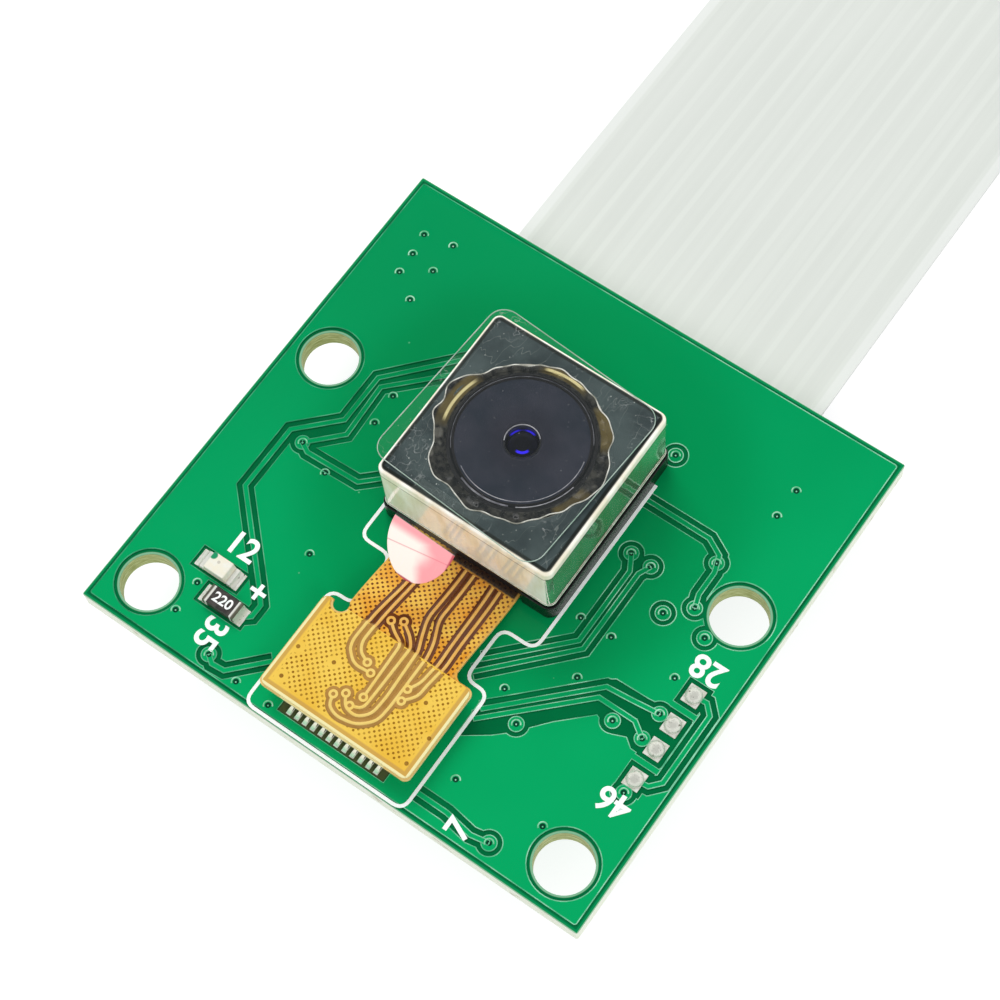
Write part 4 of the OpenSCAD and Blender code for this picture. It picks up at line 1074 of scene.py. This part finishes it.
grown(STRIPS, [p + lift * 2 for p in points], edges, "flex_traces", trace_gold,
      {"Width": 0.13, "Height": 0.03}, slot="amber")
ends = [path[-1] for path in laid] + [laid[2][0], laid[3][0]]
grown(DISCS, [p + lift * (0.12 + 0.17 * k) for k, p in enumerate(ends)], [],
      "flex_pad_channels", channel_brown, {"Radius": 0.34, "Depth": 0.014}, slot="amber")
grown(DISCS, [p + lift * (2.1 + 0.1 * k) for k, p in enumerate(ends)], [], "flex_pads",
      trace_gold, {"Radius": 0.2, "Depth": 0.03}, slot="amber")
loose = [drape([Vector(p), Vector(p) + Vector((0.01, 0))], flex_skin, 0.0)[0]
         for p in LOOSE_VIAS]
grown(DISCS, [p + lift * 4 for p in ends], [], "flex_pad_middles", channel_brown,
      {"Radius": 0.085, "Depth": 0.02}, slot="amber")
via_brown = mottled("flex_via", (150, 104, 18), (178, 130, 36), 0.4, 3.0)
grown(DISCS, loose, [], "flex_loose_vias", via_brown, {"Radius": 0.09, "Depth": 0.012},
      slot="amber")
print("flex traces:", len(laid), "pads:", len(ends))

# %% [markdown]
# ## Plug and socket under the head
# Ivory plastic with gold contacts. Only the contacts' tails show, in front of the head.

# %% Plug and socket
ivory = mottled("ivory_plastic", (206, 198, 176), (226, 220, 200), 0.45, 2.0)
gold = mottled("gold_flash", (196, 160, 84), (226, 196, 120), 0.25, 4.0, Metallic=1.0)
TAIL_PITCH = 0.4
TAIL_X = islands("socket_contacts")[0].x


# Each tail carries a pale wedge, a painted highlight that glows a little; the rest of the tail is
# darker as painted shade.
@finish_named("tinned_tail_painted_glint", Emission_Strength=0.3)
def tail_painted_glint(graph):
    x, y, z = graph.axes()
    from_end = y - box_mm("socket_contacts")[0].y
    spot = (x - TAIL_X).wave(TAIL_PITCH)
    bright = (spot - from_end * 2.0).fade(-0.15, 0.1)
    stain = graph.noise(5.0)
    shade = graph.blend(stain, (84, 80, 52), (120, 124, 92))
    tin = graph.blend(from_end.fade(0.25, 0.0), (255, 255, 240), (176, 222, 190))
    return {"Base Color": graph.blend(bright, shade, tin),
            "Emission Color": graph.blend(bright, (0, 0, 0, 1), tin),
            "Roughness": 0.3 + stain * 0.1}


tail_tin = mottled("tinned_lead", (196, 198, 188), (236, 238, 230), 0.3, 5.0, Metallic=0.5)
eased_copy("flex_socket", "socket_body", ivory, 0.025)
eased_copy("flex_plug", "plug_body", ivory, 0.02)
eased_copy("socket_contacts", "socket_contact_tails", tail_painted_glint, 0.015)
eased_copy("plug_contacts", "plug_contact_skins", gold, 0.01)
print("plug and socket dressed")

# %% [markdown]
# ## Can
# The can is drawn from polished sheet: a square cup with round corners, a soft edge along its top
# and a round opening for the lens. It is built from closed rings of points, which turn from a
# rounded square into the circle of the opening and go back down inside. Its dark top, the pale band
# high on its sides, its pale front side and a dark line round its sides are painted reflections.

# %% Can
def square_ring(half, corner, height, straight=10, arc=8):
    """Points round a rounded square, anticlockwise from the middle of a corner's start."""
    out = []
    for quarter in range(4):
        turn = math.radians(90 * quarter)
        spin = Matrix.Rotation(turn, 3, "Z")
        for k in range(arc):
            a = math.radians(90) * k / arc
            out.append(spin @ Vector((half - corner + corner * math.cos(a),
                                      half - corner + corner * math.sin(a), height)))
        for k in range(straight):
            x = half - corner - 2 * (half - corner) * k / straight
            out.append(spin @ Vector((x, half, height)))
    return out


def round_ring(radius, height, like):
    """Points round a circle, each in the direction of a point of another ring."""
    return [Vector((p.x, p.y, 0)).normalized() * radius + Vector((0, 0, height)) for p in like]


def moved(ring, x, y):
    """A ring of points moved in plan."""
    return [p + Vector((x, y, 0)) for p in ring]


CAN_CORNER, CAN_EDGE, CAN_WALL, OPENING_R = 0.35, 0.2, 0.15, 3.45


def can_rings():
    """The can's closed rings: up its wall, over its edge, in to the opening and down inside."""
    top, foot = CAN_HI.z, CAN_LO.z
    rings = [square_ring(CAN_HALF, CAN_CORNER, foot + (top - CAN_EDGE - foot) * k / 8)
             for k in range(9)]
    for k in range(1, 8):
        a = math.radians(90) * k / 7
        inset = CAN_EDGE * (1 - math.cos(a))
        rings.append(square_ring(CAN_HALF - inset, CAN_CORNER - inset * 0.6,
                                 top - CAN_EDGE * (1 - math.sin(a))))
    flat = rings[-1]
    circle = round_ring(OPENING_R + 0.05, top, flat)
    for k in range(1, 5):
        rings.append([a.lerp(b, k / 4) for a, b in zip(flat, circle)])
    rings.append(round_ring(OPENING_R + 0.015, top - 0.015, flat))
    rings.append(round_ring(OPENING_R, top - 0.05, flat))
    rings.append(round_ring(OPENING_R, top - CAN_WALL, flat))
    inner = CAN_HALF - CAN_WALL
    rings.append(square_ring(inner - 0.15, CAN_CORNER - CAN_WALL, top - CAN_WALL))
    rings.append(square_ring(inner, CAN_CORNER - CAN_WALL, top - CAN_WALL - 0.15))
    rings.append(square_ring(inner, CAN_CORNER - CAN_WALL, foot))
    return [moved(ring, LENS_X, LENS_Y) for ring in rings]


@finish_named("polished_can_painted_reflections", Emission_Strength=0.3)
def bright_can(graph):
    x, y, z = graph.axes()
    on_top = z.fade(CAN_HI.z - 0.03, CAN_HI.z - 0.004)
    on_front = (LENS_Y - y).fade(CAN_HALF - 0.05, CAN_HALF - 0.01)
    cloud = graph.noise(0.55)
    worn = graph.noise(3.2, 5.0)
    scratch = abs(graph.noise(1.5, 2.0, (1.0, 0.35, 1.0)) - 0.5).fade(0.005, 0.001)
    dust = graph.cells(3.0).fade(0.1, 0.06) * cloud.fade(0.36, 0.5)
    from_edge = abs(x - LENS_X).greater(abs(y - LENS_Y)) - (CAN_HALF - CAN_EDGE)
    # The top's slate colour, with a darker line inside its edge, is painted: it stands for the dark
    # reflection of the polished top. Dust and scratches on it are real.
    slate = graph.layers((58, 70, 72),
                         (cloud.fade(), (84, 98, 98)),
                         (worn.fade(0.6, 0.8) * 0.14, (110, 120, 118)),
                         ((scratch * 0.22 + dust * 0.75).lesser(1.0), (206, 214, 206)),
                         (from_edge.fade(-0.12, -0.05) * 0.8, (34, 36, 30)))
    streak = graph.noise(1.3, 3.0, (1.0, 1.0, 0.3))
    # a dark line round the sides: painted reflection of shade
    painted_shade_line = abs(z - (CAN_HI.z - 0.58)).fade(0.06, 0.02)
    steel = graph.layers((255, 253, 244),
                         (streak.fade(0.35, 0.65), (238, 230, 208)),
                         (painted_shade_line * 0.55, (112, 92, 74)))
    # The upper band of the sides and the front side glow pale and are less metallic: painted
    # reflections of the bright surroundings.
    band = z.fade(CAN_HI.z - 0.54, CAN_HI.z - 0.46)
    plain = (band * 0.78).greater(on_front * 0.7) * (1 - on_top)
    return {"Base Color": graph.blend(on_top, steel, slate),
            "Emission Color": graph.blend(plain, (0, 0, 0, 1), steel),
            "Metallic": (0.9 - plain) * (1 - on_top * 0.8),
            "Roughness": 0.08 + worn * 0.06 + on_top * 0.14,
            "Normal": graph.bump(cloud * 2 + worn * 0.06, 0.02)}


can_skin = outward(skin(can_rings(), closed_v=True))
settle(draft_of(can_skin, 50), "can_shell", bright_can, "shield_can")
foot_steel = mottled("can_foot_steel", (200, 206, 190), (244, 246, 232), 0.15, 3.0, Metallic=0.8)
foot = moved(square_ring(CAN_HALF, CAN_CORNER, CAN_LO.z + 0.05), LENS_X, LENS_Y)
points, edges = chained([foot + foot[:1]])
grown(BEADS, points, edges, "can_foot_rim", foot_steel, {"Bead_Radius": 0.045},
      slot="bright_can")
print("can is", round(2 * CAN_HALF, 2), "mm square")

# %% [markdown]
# ## Lens
# The barrel is slate black, with fine rings on its face: the pale and grey arcs are painted
# highlights, the dark rings painted shadows. The first lens is a small dark dome behind the
# opening; the blue arcs of its coating are painted reflections that glow a little.

# %% Barrel and lenses
@finish_named("slate_barrel", Specular_IOR_Level=0.3)
def slate_barrel(graph):
    x, y, z = graph.axes()
    r = off_axis(x, y, LENS_X, LENS_Y)
    cloud = graph.noise(0.8, 4.0)
    dust = graph.cells(2.6).fade(0.05, 0.02)
    slate = graph.layers((40, 46, 58),
                         (cloud.fade(), (52, 54, 66)),
                         (r.fade(2.0, 0.9) * 0.5, (40, 38, 50)),
                         # near-black towards the barrel's edge: painted shade, like the dark rings
                         # below
                         (r.fade(2.72, 2.78), (20, 20, 25)),
                         (dust * 0.6, (150, 150, 160)))
    return {"Base Color": slate,
            "Roughness": 0.36 + (cloud - 0.5) * 0.2,
            "Normal": graph.bump(cloud, 0.006)}


@finish_named("coated_lens", Specular_IOR_Level=0.2, Emission_Strength=0.6)
def coated_lens(graph):
    x, y, z = graph.axes()
    dx, dy = x - LENS_X, y - LENS_Y
    r = (dx ** 2.0 + dy ** 2.0) ** 0.5
    up = (dy * 0.83 - dx * 0.56) / (r + 0.001)
    far = r.fade(0.56, 0.6) * r.fade(0.7, 0.66) * up.fade(0.55, 0.75) * up.fade(1.02, 0.93)
    near = r.fade(0.34, 0.38) * r.fade(0.48, 0.44) * (-up).fade(0.72, 0.9)
    # blue arcs on the far and near side: painted reflections of the coating, which glow a little
    arcs = far.greater(near)
    glow = graph.noise(6.0)
    dark = graph.blend(r.fade(0.75, 0.2), (12, 10, 34), (18, 17, 26))
    return {"Base Color": graph.blend(arcs, dark, (54, 40, 232)),
            "Emission Color": graph.blend(arcs, (0, 0, 0, 1), (46, 30, 220)),
            "Roughness": 0.04 + glow * 0.04}


inner_lens = mottled("clear_lens", (70, 76, 92), (88, 94, 112), 0.08, 1.0)
eased_copy("lens_barrel", "barrel_tube", slate_barrel, 0.03, over=30)
eased_copy("lens_front", "front_lens", coated_lens, 0)
for node in ("lens_middle", "lens_rear"):
    dress(node, inner_lens)
ring_highlight = mottled("ring_painted_highlight", (130, 130, 138), (196, 196, 200), 0.25, 2.0)
ring_grey = mottled("ring_shine", (84, 84, 92), (146, 146, 152), 0.25, 2.0)
ring_dark = mottled("ring_shadow", (10, 10, 13), (22, 22, 27), 0.4, 2.0)
face = Vector((LENS_X, LENS_Y, FACE_Z))
# Pale and grey arcs are painted highlights on the face; dark rings and the dark near arc are
# painted shadows.
for name, radius, tube, start, sweep, finish in (
        ("barrel_step_shadow", 2.8, 0.045, 0, 359, ring_dark),
        ("barrel_outer_step_shadow", 2.96, 0.03, 0, 359, ring_dark),
        ("barrel_near_highlight", 2.66, 0.02, -122, 136, ring_highlight),
        ("barrel_far_highlight", 2.88, 0.016, 30, 190, ring_grey),
        ("barrel_near_shine", 2.88, 0.045, -112, 46, ring_grey),
        ("barrel_low_shine", 2.9, 0.025, -60, 50, ring_highlight),
        ("aperture_far_highlight", 0.73, 0.024, 40, 172, ring_highlight),
        ("aperture_near_shadow", 0.73, 0.024, 212, 188, ring_dark)):
    grown(ARCS, [face - Vector((0, 0, 0.012))], [], name, finish,
          {"Rim_Radius": radius, "Tube_Radius": tube, "Steps": 96,
           "Start": math.radians(start), "Sweep": math.radians(sweep)}, slot="barrel_slate")
print("barrel face at", round(FACE_Z, 3))

# %% Inner parts of the module
matt_black = mottled("matt_black_plastic", (16, 16, 18), (28, 28, 30), 0.5, 2.0)
foam = mottled("black_foam", (12, 12, 12), (26, 26, 26), 0.9, 6.0, 0.02)
plain_steel = mottled("plain_steel", (150, 150, 146), (176, 176, 172), 0.3, 2.0, Metallic=1.0)
silicon = mottled("sensor_silicon", (22, 26, 48), (36, 44, 80), 0.12, 1.5)
filter_blue = mottled("filter_glass", (150, 196, 204), (176, 214, 220), 0.05, 1.0, Alpha=0.5)
black_epoxy = mottled("black_epoxy", (10, 10, 11), (24, 24, 24), 0.25, 3.0, 0.02)
eased_copy("lens_holder", "holder_body", matt_black, 0.03)
eased_copy("module_plate", "module_plate_dressed", plain_steel, 0.03)
eased_copy("base_glue", "foot_glue", black_epoxy, 0.04, steps=3)
for node, finish in (("sticky_pad", foam), ("image_sensor", silicon),
                     ("infrared_filter", filter_blue), ("lens_rings", matt_black),
                     ("lens_retainer", matt_black)):
    dress(node, finish)
print("inner parts dressed")

# %% [markdown]
# ## Glue and film
# Clear glue fills the gap round the barrel and creeps out over the can in lobes. A clear
# film lies over it all: where it touches the glue, its edge shows as a wavy line.

# %% Glue round the barrel
LOBES = [(40, 0.2, 16), (-3, 0.32, 12), (14, 0.22, 9), (-131, 0.42, 16), (172, 0.5, 14),
         (-166, 0.4, 9), (95, 0.12, 12), (-60, 0.1, 14), (-95, 0.16, 9)]
GLINTS = [(178, 26, 1), (93, 22, 1), (43, 20, 0), (-20, 16, 0)]


def creep(angle):
    """How far the glue reaches at an angle, in millimetres from the lens's axis."""
    reach = 3.42
    for at, out, width in LOBES:
        off = (angle - at + 180) % 360 - 180
        reach += out * math.exp(-(off / width) ** 2)
    return reach + 0.035 * math.sin(math.radians(angle * 11 + 7)) + 0.03 * math.sin(
        math.radians(angle * 23))


def glue_point(angle, radius, up):
    """A point round the lens, that far out and that far over the can."""
    return Vector((LENS_X + radius * math.cos(math.radians(angle)),
                   LENS_Y + radius * math.sin(math.radians(angle)), CAN_HI.z + up))


def glue_skin():
    """The glue's skin: a dip by the barrel, then a low bead that ends where the glue does."""
    rows = [[glue_point(angle, radius, up) for angle in range(0, 360, 2)]
            for radius, up in ((3.02, -0.05), (3.1, -0.025), (3.3, -0.03))]
    rows += [[glue_point(angle, creep(angle) * share, up) for angle in range(0, 360, 2)]
             for share, up in ((0.93, 0.016), (0.97, 0.03), (1.0, 0.0))]
    under = [[p - Vector((0, 0, 0.012)) for p in row] for row in reversed(rows[:-1])]
    return outward(skin(rows + under, closed_v=True))


@finish_named("hard_clear_glue", Coat_Weight=0.4, Coat_Roughness=0.05)
def hard_glue(graph):
    x, y, z = graph.axes()
    dx, dy = x - LENS_X, y - LENS_Y
    r = (dx ** 2.0 + dy ** 2.0) ** 0.5
    patch = graph.noise(0.9, 2.0)
    fine = graph.noise(3.0, 4.0)
    lit, strong = r * 0, r * 0
    for angle, spread, has_core in GLINTS:
        a = math.radians(angle)
        toward = (dx * math.cos(a) + dy * math.sin(a)) / r
        ends = [math.cos(math.radians(spread * share)) for share in (1.0, 0.8, 0.5)]
        lit = lit.greater(toward.fade(ends[0], ends[2]))
        strong = strong.greater(toward.fade(ends[1], ends[2]) * has_core)
    glint = lit * (patch.fade(0.4, 0.55) * 0.5 + 0.5) * r.fade(3.12, 3.2) * r.fade(3.78, 3.6)
    core = strong * r.fade(3.26, 3.3) * r.fade(3.42, 3.38) * patch.fade(0.35, 0.5)
    pale = patch.fade(0.56, 0.64) * r.fade(3.15, 3.3) * 0.5
    # The near-black base is painted: the clear glue shows the dark gap and can top beneath it. The
    # glints and their pale cores are painted reflections.
    base = graph.layers((28, 29, 31),
                        (fine.fade(0.35, 0.7), (66, 65, 60)),
                        (pale, (120, 118, 108)),
                        (glint * 0.75, (128, 112, 66)),
                        (core, (255, 240, 176)))
    return {"Base Color": base,
            "Metallic": glint * 0.3,
            "Roughness": 0.12 + fine * 0.12,
            "Normal": graph.bump(fine, 0.03)}


settle(draft_of(glue_skin(), 60), "glue_ring", hard_glue, "lens_glue")
contour = [glue_point(angle, creep(angle), 0.008) for angle in range(0, 361, 2)]
wet_line = mottled("wetting_line", (150, 150, 136), (250, 250, 240), 0.15, 2.0, Metallic=0.1)
points, edges = chained([contour])
grown(STRIPS, points, edges, "film_wetting_line", wet_line, {"Width": 0.045, "Height": 0.04},
      slot="glue_olive")
print("glue reaches", round(max(creep(a) for a in range(360)), 2), "mm")

# %% Film over the lens
FILM_LO, FILM_HI = box_mm("protective_film")
FILM_TURN = math.radians(-4)
FILM_W, FILM_L, FILM_CORNER, FILM_THICK = 8.45, 8.4, 0.8, 0.03
FILM_MIDDLE = Vector(((FILM_LO.x + FILM_HI.x) / 2, (FILM_LO.y + FILM_HI.y) / 2 - 0.1, 0))


def film_ring(shrink, height):
    """A ring of the film's outline, drawn in by shrink."""
    ring = square_ring(FILM_W / 2 - shrink, max(FILM_CORNER - shrink, 0.05), 0)
    grow = Matrix.Diagonal((1, FILM_L / FILM_W, 1))
    turn = Matrix.Rotation(FILM_TURN, 3, "Z")
    out = []
    for p in ring:
        at = turn @ (grow @ p) + FILM_MIDDLE
        beyond = max(abs(at.x - LENS_X), abs(at.y - LENS_Y)) - CAN_HALF
        out.append(Vector((at.x, at.y, height - 0.25 * max(0.0, beyond + 0.1) ** 2)))
    return out


def film_skin():
    """The film's skin, in rings from its middle out under it and back over it."""
    level = FILM_LO.z
    shrinks = [0, 0.12, 0.3, 0.55, 0.8, 1.4, 2.2, 3.2, 4.0]
    upper = [film_ring(shrink, level + FILM_THICK) for shrink in shrinks]
    lower = [film_ring(shrink, level) for shrink in reversed(shrinks)]
    bm = capped(skin(lower + upper), len(upper[0]))
    bmesh.ops.triangulate(bm, faces=[f for f in bm.faces if len(f.verts) > 4])
    return outward(bm)


@finish_named("clear_film", Specular_IOR_Level=0.25)
def clear_film(graph):
    x, y, z = graph.axes()
    r = off_axis(x, y, LENS_X, LENS_Y)
    squiggle = abs(graph.noise(2.4, 1.0) - 0.5).fade(0.012, 0.004)
    where = graph.noise(0.45, 2.0).fade(0.5, 0.62) * r.fade(3.5, 3.7)
    specks = graph.cells(2.2).fade(0.07, 0.04)
    marks = (squiggle * where + specks).lesser(1.0)
    fine = graph.noise(1.2, 2.0)
    return {"Base Color": graph.blend(marks, (206, 220, 214), (236, 240, 238)),
            "Alpha": 0.012 + marks * 0.16,
            "Roughness": 0.08 + marks * 0.3,
            "Normal": graph.bump(fine, 0.02)}


settle(draft_of(film_skin(), 50), "lens_film", clear_film, "protective_film")
film_line = mottled("film_edge", (170, 206, 184), (222, 238, 228), 0.2, 1.0, Alpha=0.7)
rim = film_ring(0.015, FILM_LO.z + FILM_THICK / 2)
points, edges = chained([rim + rim[:1]])
grown(STRIPS, points, edges, "film_edge_line", film_line, {"Width": 0.035, "Height": 0.035},
      slot="clear_film")
print("film is", FILM_W, "by", FILM_L)

# %% Pull tab
TAB_LO, TAB_HI = box_mm("pull_tab")
PINK_START = TAB_HI.y - 1.78


# The pink part glows a little: painted light, as if light came through the film.
@finish_named("pink_film", Specular_IOR_Level=0.3, Emission_Strength=0.22)
def pink_film(graph):
    x, y, z = graph.axes()
    across, down = x - (TAB_LO.x + TAB_HI.x) / 2, PINK_START - y
    pink_part = (down - across * 0.03).fade(-0.03, 0.03)
    cloud = graph.noise(0.7, 2.0)
    streak = graph.noise(2.6, 3.0, (3.0, 0.5, 0.5))
    # a darker line along the tab's crease: painted shade
    painted_shade_line = abs(down - 0.62 + across * 0.12).fade(0.03, 0.012)
    rosy = (across * 0.9 - down * 0.5 + cloud * 1.6).fade(0.35, 1.1).greater(down.fade(0.45, 0.1))
    dark_edge = across.fade(1.36, 1.46).greater(y.fade(TAB_LO.y + 0.08, TAB_LO.y + 0.03))
    pink = graph.layers((255, 246, 238),
                        (rosy, (255, 170, 176)),
                        (painted_shade_line * 0.5, (214, 120, 132)),
                        (dark_edge, (196, 84, 98)))
    return {"Base Color": graph.blend(pink_part, (214, 228, 216), pink),
            "Emission Color": graph.blend(pink_part, (0, 0, 0, 1), pink),
            "Alpha": 0.02 + pink_part * 0.9,
            "Roughness": 0.18 + streak * 0.15,
            "Normal": graph.bump(streak, 0.012)}


eased_copy("pull_tab", "pink_pull_tab", pink_film, 0.008)
print("tab is", round(TAB_HI.x - TAB_LO.x, 2), "wide")

# %% [markdown]
# ## Connector and parts on the back
# The ribbon connector has an ivory housing, a dark slide latch that rides on its own body,
# tinned contacts and two anchors. Regulators, a clock and small chips lie beside it.

# %% Connector
latch_brown = mottled("dark_brown_plastic", (44, 34, 30), (62, 50, 44), 0.42, 2.5)
eased_copy("ribbon_housing", "connector_housing", ivory, 0.04)
eased_copy("ribbon_latch", "connector_latch", latch_brown, 0.04)
eased_copy("connector_contacts", "connector_springs", tinned, 0.012)
eased_copy("connector_anchors", "connector_anchor_legs", cap_tin, 0.02)
print("connector dressed")

# %% Chips
black_moulding = mottled("black_moulding", (30, 30, 33), (46, 46, 50), 0.55, 5.0, 0.01)
fired_tan = mottled("fired_tan", (150, 116, 80), (182, 146, 106), 0.4, 3.0)
fired_brown = mottled("clock_ceramic", (120, 104, 84), (146, 128, 104), 0.5, 3.0)
eased_copy("regulators", "regulator_bodies", black_moulding, 0.03)
eased_copy("regulator_leads", "regulator_leads_dressed", tail_tin, 0.02)
eased_copy("clock_base", "clock_foot", fired_brown, 0.02)
eased_copy("clock_lid", "clock_cap", plain_steel, 0.05, steps=3)
eased_copy("small_capacitors", "capacitor_bodies", fired_tan, 0.02)
eased_copy("small_resistors", "resistor_bodies", black_glaze, 0.02)
eased_copy("small_chip_ends", "small_end_caps", cap_tin, 0.025)
print("back parts dressed")
